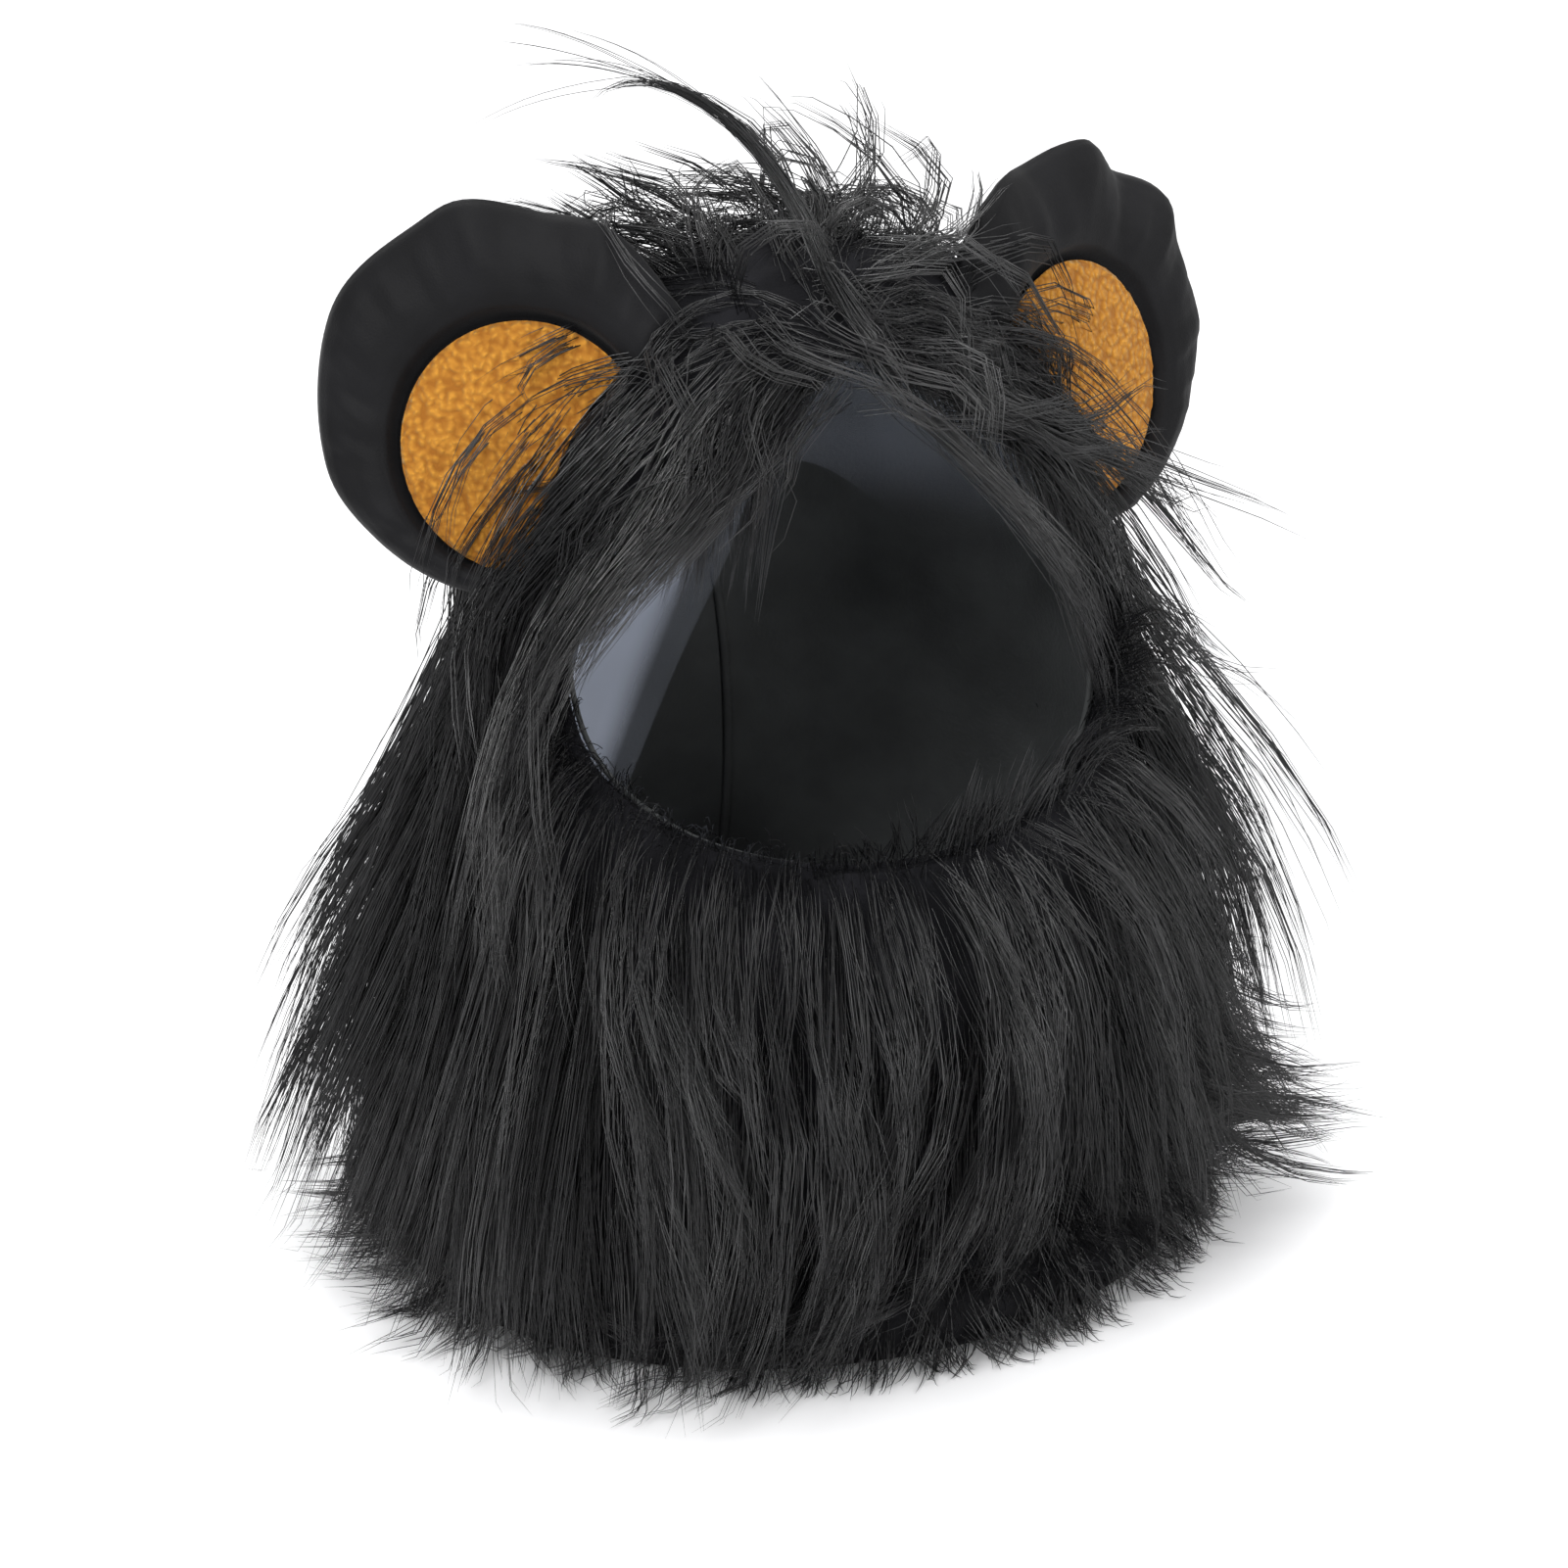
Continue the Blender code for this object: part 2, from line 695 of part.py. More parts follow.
def mane_crown():
    low = rise_at(CROWN_SEAM_HEIGHT + PANEL_SEAM / 2)
    wall = dome_wall("mane_crown", BACKING_IN, BACKING_OUT, low)
    backing = cut("mane_crown", wall, [face_cutter()])
    free = math.radians(20)  # the forelock's place, at the front
    locks = locks_in_rows(CROWN_ROWS, free, 2 * math.pi - free, 41, 1, CROWN_PARTING)
    locks += [edge_lock(side, *row) for side in (-1, 1) for row in BROW_LOCKS]
    return fused("mane_crown", backing, [made for made in locks if made])


def forelock():
    """One twisted lock that stands up over the top of the face opening and curls over to the left."""
    rise = rise_at(FACE_TOP + BACKING_OUT + 2 * FORELOCK_RADIUS)
    root = off_cloth(0, rise, BACKING_OUT + LAYER_GAP)
    out = cloth_normal(0, rise)
    lean = Vector((0, math.sin(FORELOCK_RAKE), math.cos(FORELOCK_RAKE)))
    lifted = root + out * FORELOCK_RADIUS
    path = [root]
    for up, aside in FORELOCK_BEND:
        path.append(lifted + (lean * up + Vector((1, 0, 0)) * aside) * FORELOCK_LENGTH)
    sides = 6

    def build(shape):
        rings = []
        for i, point in enumerate(path[:-1]):
            run = out if i == 0 else (path[i + 1] - path[i - 1]).normalized()
            across = run.cross(Vector((0.3, 1, 0.1))).normalized()
            other = run.cross(across)
            radius = FORELOCK_RADIUS * (1 - 0.8 * (i / len(path)) ** 1.3)
            ring = []
            for k in range(sides):
                turn = 2 * math.pi * k / sides
                ring.append(point + (across * math.cos(turn) + other * math.sin(turn)) * radius)
            rings.append(ring)
        loft(shape, rings + [[path[-1]]])

    return mesh_from("forelock", build)


def neck_hem():
    """The rolled fur hem that the wig stands on, flat underneath, with short locks lying outwards."""
    step = 2 * math.pi / AROUND
    rise = rise_at(HEM_HEIGHT / 2)
    inner, outer = -HEM_DEPTH * 0.45, HEM_DEPTH * 0.55
    # how far across the roll, and how high, as shares
    section = ((0.12, 0.0), (0.88, 0.0), (1.0, 0.3), (0.95, 0.72), (0.72, 1.0), (0.28, 1.0), (0.05, 0.72), (0.0, 0.3))

    def hem_point(angle, across, height):
        point = cloth_point(angle, rise)
        level = cloth_normal(angle, rise)
        level.z = 0
        point += level.normalized() * (inner + (outer - inner) * across)
        point.z = height * HEM_HEIGHT
        return point

    def build(shape):
        rings = [[hem_point(i * step, a, h) for a, h in section] for i in range(AROUND)]
        loft(shape, rings + rings[:1], start_cap=False, end_cap=False)
        bmesh.ops.remove_doubles(shape, verts=shape.verts, dist=1e-6)

    locks = []
    draw = random.Random(53)
    pitch = 2 * math.pi / HEM_LOCKS
    for i in range(HEM_LOCKS):
        angle = pitch * (i + 0.5)
        reach = 1.0 + HEM_LOCK_REACH / HEM_DEPTH * (0.8 + 0.4 * draw.random())
        path = [
            hem_point(angle, 0.6, 0.55),
            hem_point(angle, 0.95, 0.60),
            hem_point(angle, 0.5 + 0.5 * reach, 0.35),
            hem_point(angle, reach, 0.14),
        ]
        outward = [Vector((0, 0, 1))] * len(path)
        width = LOCK_WIDTH_SHARE * pitch * HOOD_WIDTH / 2
        locks.append(lock(path, outward, [0.8 * width, width, 0.6 * width], [LOCK_THICKNESS * 0.7] * 3))
    return fused("neck_hem", mesh_from("neck_hem", build), locks)


def centre_over_origin(things):
    """Moves every mesh alike, so that the whole object stands centred on the origin."""
    points = [v.co for thing in things for v in thing.data.vertices]
    middle = Vector((
        (min(p.x for p in points) + max(p.x for p in points)) / 2,
        (min(p.y for p in points) + max(p.y for p in points)) / 2,
        min(p.z for p in points),
    ))
    for thing in things:
        for vertex in thing.data.vertices:
            vertex.co -= middle


def main():
    for thing in list(bpy.data.objects):
        bpy.data.objects.remove(thing)
    knit = plain_material("black_knit", (0.012, 0.012, 0.013), 0.9)
    cloth = plain_material("black_lining", (0.010, 0.011, 0.011), 0.75)
    fur = plain_material("black_fur", (0.016, 0.016, 0.018), 0.45)
    velour = plain_material("black_velour", (0.014, 0.014, 0.016), 0.85)
    fleece = plain_material("orange_fleece", (0.62, 0.27, 0.035), 0.95)
    film = plain_material("clear_film", (0.62, 0.68, 0.78), 0.12, alpha=0.35)
    things = [
        new_object("hood_shell", hood_shell(), knit),
        new_object("lining", lining(), cloth),
        new_object("clear_sheet", clear_sheet(), film),
        new_object("neck_hem", neck_hem(), fur),
        new_object("mane_back", mane_back(), fur),
        new_object("mane_bib", mane_bib(), fur),
        new_object("mane_crown", mane_crown(), fur),
        new_object("forelock", forelock(), fur),
    ]
    for side, word in ((-1, "left"), (1, "right")):
        things.append(new_object("mane_" + word, mane_side(side, word), fur))
        things.append(new_object("ear_" + word, ear(side, word), velour))
        things.append(new_object("inner_ear_" + word, inner_ear(side, word), fleece))
    centre_over_origin(things)
    for thing in things:
        smooth(thing)


main()
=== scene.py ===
"""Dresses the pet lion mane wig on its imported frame.

It makes the fur in locks, the velour ears with fleece inside, the lining, the clear sheet and the rolled hem.

The wig stands on its hem and faces -Y. Left is -X, as seen from the front. All lengths are in metres.
"""

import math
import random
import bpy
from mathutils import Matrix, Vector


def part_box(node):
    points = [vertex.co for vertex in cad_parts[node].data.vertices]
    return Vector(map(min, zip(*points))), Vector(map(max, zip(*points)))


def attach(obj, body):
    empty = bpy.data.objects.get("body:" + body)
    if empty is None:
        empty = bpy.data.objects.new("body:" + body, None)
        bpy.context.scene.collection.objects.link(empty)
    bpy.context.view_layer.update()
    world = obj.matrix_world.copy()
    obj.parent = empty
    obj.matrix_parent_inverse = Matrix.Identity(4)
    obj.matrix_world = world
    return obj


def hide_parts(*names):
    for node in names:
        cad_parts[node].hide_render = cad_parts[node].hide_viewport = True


bl_info = {
    "name": "Lion mane wig",
    "version": (1, 0, 0),
    "blender": (4, 5, 0),
    "location": "3D View > Sidebar > Wig",
    "description": "Builds a black long-pile pet wig with round ears on its packed frame",
    "category": "Object",
}

from typing import NamedTuple

import bmesh
import bpy
import numpy as np
from bpy.props import FloatProperty, FloatVectorProperty, IntProperty, PointerProperty
from mathutils import Vector, noise
from mathutils.bvhtree import BVHTree

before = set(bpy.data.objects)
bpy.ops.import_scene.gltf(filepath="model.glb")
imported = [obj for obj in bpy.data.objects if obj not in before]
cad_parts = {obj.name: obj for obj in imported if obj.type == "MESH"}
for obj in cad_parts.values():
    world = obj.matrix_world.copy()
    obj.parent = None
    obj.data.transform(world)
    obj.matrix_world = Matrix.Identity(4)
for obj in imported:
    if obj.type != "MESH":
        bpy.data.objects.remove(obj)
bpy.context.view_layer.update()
SHELL_LOW, SHELL_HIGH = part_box("hood_shell")

# The hood's form, as in the frame's solids
HOOD_TOP = SHELL_HIGH.z
HOOD_WIDTH = 0.154
HOOD_DEPTH = 0.063
HOOD_MIDDLE = (SHELL_LOW.y + SHELL_HIGH.y) / 2
HEM_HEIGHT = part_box("neck_hem")[1].z
SHELL_WALL = 0.0025
LINING_WALL = 0.0012
GROUND_WALL = 0.0016
LAYER_GAP = 0.0005
FACE_WIDTH = 0.114
FACE_BOTTOM = 0.105
FACE_TOP = 0.200
CROWN_SEAM = 0.150

# Height, half width, front and back of the hood, as shares of its own sizes
HOOD_SECTIONS = np.array((
    (0.000, 0.974, 0.970, 0.954),
    (0.140, 1.000, 1.000, 1.000),
    (0.327, 0.974, 0.970, 1.000),
    (0.490, 0.909, 0.924, 0.969),
    (0.654, 0.818, 0.818, 0.923),
    (0.794, 0.714, 0.697, 0.846),
    (0.888, 0.584, 0.561, 0.723),
    (0.953, 0.377, 0.364, 0.477),
    (0.986, 0.195, 0.182, 0.246),
    (1.000, 0.000, 0.000, 0.000),
))

# Height and half width of the face opening, as shares
FACE_OUTLINE = np.array((
    (0.000, 0.000),
    (0.015, 0.340),
    (0.075, 0.700),
    (0.180, 0.930),
    (0.320, 1.000),
    (0.480, 0.965),
    (0.640, 0.830),
    (0.790, 0.610),
    (0.910, 0.340),
    (1.000, 0.000),
))

# The window between the clear sheet's legs, across and up, as shares of the hood's width and height
SHEET_WINDOW = (
    (-0.240, 0.050),
    (-0.175, 0.290),
    (-0.085, 0.450),
    (0.010, 0.600),
    (0.055, 0.690),
    (0.140, 0.705),
    (0.290, 0.610),
    (0.375, 0.500),
    (0.410, 0.280),
    (0.410, 0.050),
)

# Gathers of the ears' edges: place in degrees from the top, edge out, cloth forward, width in degrees
EAR_FOLDS = {
    "left": (
        (-118, 0.020, 0.10, 14),
        (-60, 0.025, 0.12, 16),
        (-16, 0.045, 0.22, 11),
        (8, -0.030, -0.16, 10),
        (30, 0.035, 0.18, 12),
    ),
    "right": (
        (-32, 0.050, 0.26, 12),
        (-8, -0.035, -0.20, 9),
        (14, 0.035, 0.28, 10),
        (36, -0.030, -0.20, 9),
        (56, 0.040, 0.24, 11),
        (96, 0.020, 0.12, 13),
    ),
}
EAR_RADIUS = 0.0385
EAR_THICKNESS = 0.010
EAR_SPREAD = 0.0595
EAR_SET_BACK = 0.001
EAR_CENTRE_HEIGHT = 0.188
EAR_TURN = math.radians(30)
EAR_LEAN = math.radians(12)
INNER_EAR_RADIUS = 0.0252
INNER_EAR_DROP = 0.0085
INNER_EAR_INWARD = 0.0040
EAR_DISH = 0.0035

# Sections across an ear: how far out, forward share, dished
EAR_SECTIONS = (
    (0.00, 1.00, 1.0),
    (0.60, 1.00, 1.0),
    (1.00, 1.00, 1.0),
    (1.05, 0.98, 0.7),
    (1.12, 0.98, 0.0),
    (1.25, 1.16, 0.0),
    (1.45, 1.22, 0.0),
    (1.65, 1.08, 0.0),
    (1.82, 0.82, 0.0),
    (1.94, 0.45, 0.0),
    (2.00, 0.00, 0.0),
    (1.95, -0.42, 0.0),
    (1.80, -0.78, 0.0),
    (1.40, -0.98, 0.0),
    (0.80, -1.00, 0.0),
    (0.00, -1.00, 0.0),
)

# Gathers of the lining at the back: place and width as angles, and depth as a share
LINING_FOLDS = ((3.42, 0.10, 1.0), (3.18, 0.07, 0.6), (2.86, 0.09, 0.8), (2.45, 0.08, 0.5))

LINING_OUT = -SHELL_WALL - LAYER_GAP
LINING_IN = LINING_OUT - LINING_WALL
SHEET_OUT = LINING_IN - LAYER_GAP


# The hood's surface


def profile(rise):
    """Height, half width, front and back of the hood at rise, from 0 at the hem's foot to 1 at the top."""
    last = len(HOOD_SECTIONS) - 1
    place = np.clip(np.asarray(rise, float), 0, 1) * last
    step = np.minimum(place.astype(int), last - 1)
    t = (place - step)[..., None]
    a = HOOD_SECTIONS[np.maximum(step - 1, 0)]
    b, c = HOOD_SECTIONS[step], HOOD_SECTIONS[step + 1]
    d = HOOD_SECTIONS[np.minimum(step + 2, last)]
    shares = 0.5 * (2 * b + (c - a) * t + (2 * a - 5 * b + 4 * c - d) * t**2 + (3 * b - a - 3 * c + d) * t**3)
    return shares * (HOOD_TOP, HOOD_WIDTH / 2, HOOD_DEPTH, HOOD_DEPTH)


def cloth_point(angle, rise):
    """Points of the hood's cloth face, angle round from the front towards +X."""
    angle = np.asarray(angle, float)
    row = profile(rise)
    depth = np.where(np.cos(angle) > 0, row[..., 2], row[..., 3])
    across, along = row[..., 1] * np.sin(angle), HOOD_MIDDLE - depth * np.cos(angle)
    return np.stack(np.broadcast_arrays(across, along, row[..., 0]), -1)


def cloth_normal(angle, rise):
    """Unit directions straight out of the cloth."""
    angle, rise = np.asarray(angle, float), np.minimum(np.asarray(rise, float), 0.9985)
    step = 0.001
    side = cloth_point(angle + step, rise) - cloth_point(angle - step, rise)
    up = cloth_point(angle, rise + step) - cloth_point(angle, rise - step)
    out = np.cross(side, up)
    return out / np.maximum(np.linalg.norm(out, axis=-1, keepdims=True), 1e-12)


def off_cloth(angle, rise, distance):
    return cloth_point(angle, rise) + cloth_normal(angle, rise) * np.asarray(distance)[..., None]


RISE_TABLE = np.linspace(0, 1, 600)
HEIGHT_TABLE = profile(RISE_TABLE)[:, 0]


def rise_at(height):
    return np.interp(height, HEIGHT_TABLE, RISE_TABLE)


def smooth_outline(points, count):
    """A closed smooth curve through points, as count points."""
    points = np.array(points, float)
    total = len(points)
    place = np.linspace(0, total, count, endpoint=False)
    step = place.astype(int)
    t = (place - step)[:, None]
    a, b, c, d = (points[(step + k) % total] for k in (-1, 0, 1, 2))
    return 0.5 * (2 * b + (c - a) * t + (2 * a - 5 * b + 4 * c - d) * t**2 + (3 * b - a - 3 * c + d) * t**3)


def face_outline(grow=0.0, count=96):
    """The face opening's edge as (x, z) points."""
    half = FACE_WIDTH / 2 + grow
    bottom, top = FACE_BOTTOM - grow, FACE_TOP + grow
    right = [(w * half, bottom + h * (top - bottom)) for h, w in FACE_OUTLINE]
    return smooth_outline(right + [(-x, z) for x, z in right[-2:0:-1]], count)


def face_half_width(height):
    share = (height - FACE_BOTTOM) / (FACE_TOP - FACE_BOTTOM)
    return float(np.interp(share, FACE_OUTLINE[:, 0], FACE_OUTLINE[:, 1])) * FACE_WIDTH / 2


def in_face(point, margin=0.0):
    inside = FACE_BOTTOM - margin < point[2] < FACE_TOP + margin and point[1] < HOOD_MIDDLE
    return inside and abs(point[0]) < face_half_width(point[2]) + margin


def inside_hood(point, inwards):
    """The hood's inside point behind (x, z), as seen from the front."""
    rise = rise_at(point[1])
    reach = np.clip(point[0] / profile(rise)[1], -0.999, 0.999)
    return off_cloth(math.asin(reach), rise, -inwards)


# Meshes


def mesh_object(name, vertices, faces, material=None):
    mesh = bpy.data.meshes.new(name)
    mesh.from_pydata([tuple(v) for v in vertices], [], faces)
    mesh.update()
    if material:
        mesh.materials.append(material)
    thing = bpy.data.objects.new(name, mesh)
    bpy.context.scene.collection.objects.link(thing)
    return thing


def tidy(thing, merge=1e-6):
    """Merges doubled points, turns the faces outwards and shades them smooth."""
    shape = bmesh.new()
    shape.from_mesh(thing.data)
    bmesh.ops.remove_doubles(shape, verts=shape.verts, dist=merge)
    bmesh.ops.recalc_face_normals(shape, faces=shape.faces)
    shape.to_mesh(thing.data)
    shape.free()
    thing.data.shade_smooth()
    thing.data.set_sharp_from_angle(angle=math.radians(50))


def applied(thing):
    """Swaps a piece's modifiers for the mesh that they make."""
    bpy.context.view_layer.update()
    evaluated = thing.evaluated_get(bpy.context.evaluated_depsgraph_get())
    mesh = bpy.data.meshes.new_from_object(evaluated)
    mesh.name = thing.name
    thing.modifiers.clear()
    old = thing.data
    thing.data = mesh
    bpy.data.meshes.remove(old)
    return thing


def cut(thing, cutter):
    """Cuts a closed shape out of a piece, and removes the cutter."""
    boolean = thing.modifiers.new("cut", "BOOLEAN")
    boolean.operation = "DIFFERENCE"
    boolean.solver = "EXACT"
    boolean.object = cutter
    applied(thing)
    mesh = cutter.data
    bpy.data.objects.remove(cutter)
    bpy.data.meshes.remove(mesh)
    return thing


def grid_faces(rows, columns, ring):
    """Quads of a grid of points stored row by row."""
    faces = []
    for low in range(0, (rows - 1) * columns, columns):
        high = low + columns
        for c in range(columns if ring else columns - 1):
            d = (c + 1) % columns
            faces.append((low + c, low + d, high + d, high + c))
    return faces


def wall(name, angles, rises, outer, inner, ring, material):
    """A closed wall between two distances from the hood's cloth, each a number or a function of the grid."""
    at_angle, at_rise = np.meshgrid(angles, rises)
    layers = []
    for distance in (outer, inner):
        away = distance(at_angle, at_rise) if callable(distance) else np.full(at_angle.shape, distance)
        layer = off_cloth(at_angle, at_rise, away)
        if ring and rises[-1] >= 1:
            layer[-1] = layer[-1].mean(axis=0)  # the pole is one point
        layers.append(layer.reshape(-1, 3))
    rows, columns = at_angle.shape
    count = rows * columns
    faces = grid_faces(rows, columns, ring)
    faces += [tuple(i + count for i in reversed(face)) for face in faces]
    edge = columns if ring else columns - 1
    for c in range(edge):
        d = (c + 1) % columns
        faces.append((d, c, c + count, d + count))
        top = (rows - 1) * columns
        if not (ring and rises[-1] >= 1):
            faces.append((top + c, top + d, top + d + count, top + c + count))
    if not ring:
        for r in range(rows - 1):
            a, b = r * columns, (r + 1) * columns
            faces.append((a, b, b + count, a + count))
            a, b = a + columns - 1, b + columns - 1
            faces.append((b, a, a + count, b + count))
    piece = mesh_object(name, np.concatenate(layers), faces, material)
    tidy(piece)
    return piece


def prism(name, outline, near, far):
    """A closed prism along Y over (x, z) points."""
    count = len(outline)
    vertices = [(x, y, z) for y in (near, far) for x, z in outline]
    faces = [tuple(range(count)), tuple(range(2 * count - 1, count - 1, -1))]
    faces += [(i, (i + 1) % count, (i + 1) % count + count, i + count) for i in range(count)]
    piece = mesh_object(name, vertices, faces)
    tidy(piece)
    return piece


def face_cutter(grow=0.0):
    return prism("face_cutter", face_outline(grow), -0.2, HOOD_MIDDLE - 0.003)


def tube(path, radii, sides, flatten=1.0):
    """Points and faces of a closed round tube along a path of points."""
    path = [Vector(p) for p in path]
    vertices, faces = [], []
    normal = Vector((0, 0, 1))
    for i, point in enumerate(path):
        run = (path[min(i + 1, len(path) - 1)] - path[max(i - 1, 0)]).normalized()
        normal = (normal - run * normal.dot(run)).normalized()
        other = run.cross(normal)
        for k in range(sides):
            turn = 2 * math.pi * k / sides
            vertices.append(point + (normal * math.cos(turn) * flatten + other * math.sin(turn)) * radii[i])
    faces = grid_faces(len(path), sides, True)
    faces.append(tuple(range(sides))[::-1])
    faces.append(tuple(range(len(vertices) - sides, len(vertices))))
    return vertices, faces


def joined(name, parts, material):
    """One piece from several (vertices, faces) pairs."""
    vertices, faces = [], []
    for points, polygons in parts:
        base = len(vertices)
        vertices += list(points)
        faces += [tuple(i + base for i in face) for face in polygons]
    piece = mesh_object(name, vertices, faces, material)
    tidy(piece)
    return piece


# Materials


def new_material(name):
    material = bpy.data.materials.new(name)
    material.use_nodes = True
    nodes = material.node_tree.nodes
    return material, nodes, material.node_tree.links, nodes["Principled BSDF"]


def shader_group(name, inputs, outputs):
    """An empty shader group with float inputs as (name, value), and outputs as (name, socket kind)."""
    group = bpy.data.node_groups.new(name, "ShaderNodeTree")
    for label, value in inputs:
        socket = group.interface.new_socket(label, in_out="INPUT", socket_type="NodeSocketFloat")
        socket.default_value = value
    for label, kind in outputs:
        group.interface.new_socket(label, in_out="OUTPUT", socket_type=kind)
    return group, group.nodes.new("NodeGroupInput"), group.nodes.new("NodeGroupOutput")


def nap_group():
    """Fine uneven pile: a height for bumps, and a mask of where the pile is pressed down."""
    group, given, out = shader_group(
        "cloth_nap",
        (("Scale", 900.0), ("Patch Scale", 60.0)),
        (("Height", "NodeSocketFloat"), ("Pressed", "NodeSocketFloat")),
    )
    nodes, links = group.nodes, group.links
    where = nodes.new("ShaderNodeTexCoord")
    fine = nodes.new("ShaderNodeTexNoise")
    fine.inputs["Detail"].default_value = 4
    patch = nodes.new("ShaderNodeTexNoise")
    patch.inputs["Detail"].default_value = 3
    for node, label in ((fine, "Scale"), (patch, "Patch Scale")):
        links.new(where.outputs["Object"], node.inputs["Vector"])
        links.new(given.outputs[label], node.inputs["Scale"])
    spread = nodes.new("ShaderNodeMapRange")
    spread.inputs["From Min"].default_value = 0.35
    spread.inputs["From Max"].default_value = 0.68
    links.new(patch.outputs["Fac"], spread.inputs["Value"])
    links.new(fine.outputs["Fac"], out.inputs["Height"])
    links.new(spread.outputs["Result"], out.inputs["Pressed"])
    return group


def use_group(nodes, group, **values):
    node = nodes.new("ShaderNodeGroup")
    node.node_tree = group
    for label, value in values.items():
        node.inputs[label.replace("_", " ")].default_value = value
    return node


def bump(nodes, links, shader, height, strength, distance):
    node = nodes.new("ShaderNodeBump")
    node.inputs["Strength"].default_value = strength
    node.inputs["Distance"].default_value = distance
    links.new(height, node.inputs["Height"])
    links.new(node.outputs["Normal"], shader.inputs["Normal"])


def tone_mix(nodes, links, mask, dark, light, target):
    ramp = nodes.new("ShaderNodeMix")
    ramp.data_type = "RGBA"
    ramp.inputs["A"].default_value = (*dark, 1)
    ramp.inputs["B"].default_value = (*light, 1)
    links.new(mask, ramp.inputs["Factor"])
    links.new(ramp.outputs["Result"], target)


def cloth_material(name, dark, light, roughness, nap, scale, patch, strength, sheen=0.0):
    """Matte cloth with a fine nap that is darker where it is pressed down."""
    material, nodes, links, shader = new_material(name)
    pile = use_group(nodes, nap, Scale=scale, Patch_Scale=patch)
    tone_mix(nodes, links, pile.outputs["Pressed"], dark, light, shader.inputs["Base Color"])
    shader.inputs["Roughness"].default_value = roughness
    shader.inputs["Specular IOR Level"].default_value = 0.12
    shader.inputs["Sheen Weight"].default_value = sheen
    shader.inputs["Sheen Roughness"].default_value = 0.4
    bump(nodes, links, shader, pile.outputs["Height"], strength, 0.0006)
    return material


def fleece_material(name, dark, light, nap):
    """Orange fleece: small curled crumbs, with painted shade that darkens the gaps between them."""
    material, nodes, links, shader = new_material(name)
    where = nodes.new("ShaderNodeTexCoord")
    warp = nodes.new("ShaderNodeTexNoise")
    warp.inputs["Scale"].default_value = 380
    links.new(where.outputs["Object"], warp.inputs["Vector"])
    crumbs = nodes.new("ShaderNodeTexVoronoi")
    crumbs.feature = "SMOOTH_F1"
    crumbs.inputs["Scale"].default_value = 720
    crumbs.inputs["Smoothness"].default_value = 0.6
    bend = nodes.new("ShaderNodeVectorMath")
    bend.operation = "MULTIPLY_ADD"
    bend.inputs[1].default_value = (0.0016, 0.0016, 0.0016)
    links.new(warp.outputs["Color"], bend.inputs[0])
    links.new(where.outputs["Object"], bend.inputs[2])
    links.new(bend.outputs["Vector"], crumbs.inputs["Vector"])
    raised = nodes.new("ShaderNodeMapRange")
    raised.inputs["From Min"].default_value = 0.1
    raised.inputs["From Max"].default_value = 0.75
    raised.inputs["To Min"].default_value = 1.0
    raised.inputs["To Max"].default_value = 0.0
    links.new(crumbs.outputs["Distance"], raised.inputs["Value"])
    # the low gaps between the crumbs take the dark colour: painted shade in the hollows
    tone_mix(nodes, links, raised.outputs["Result"], dark, light, shader.inputs["Base Color"])
    shader.inputs["Roughness"].default_value = 0.95
    shader.inputs["Specular IOR Level"].default_value = 0.15
    shader.inputs["Sheen Weight"].default_value = 0.25
    shader.inputs["Sheen Tint"].default_value = (1.0, 0.75, 0.4, 1)
    bump(nodes, links, shader, raised.outputs["Result"], 0.9, 0.0007)
    return material


def hair_material(name, dark, light):
    """Glossy synthetic hair: each strand has its own tone, and the tips are duller."""
    material, nodes, links, shader = new_material(name)
    tone = nodes.new("ShaderNodeAttribute")
    tone.attribute_name = "tone"
    along = nodes.new("ShaderNodeAttribute")
    along.attribute_name = "along"
    tone_mix(nodes, links, tone.outputs["Fac"], dark, light, shader.inputs["Base Color"])
    gloss = nodes.new("ShaderNodeMapRange")
    gloss.inputs["To Min"].default_value = 0.24
    gloss.inputs["To Max"].default_value = 0.42
    links.new(along.outputs["Fac"], gloss.inputs["Value"])
    links.new(gloss.outputs["Result"], shader.inputs["Roughness"])
    shader.inputs["Specular IOR Level"].default_value = 0.6
    return material


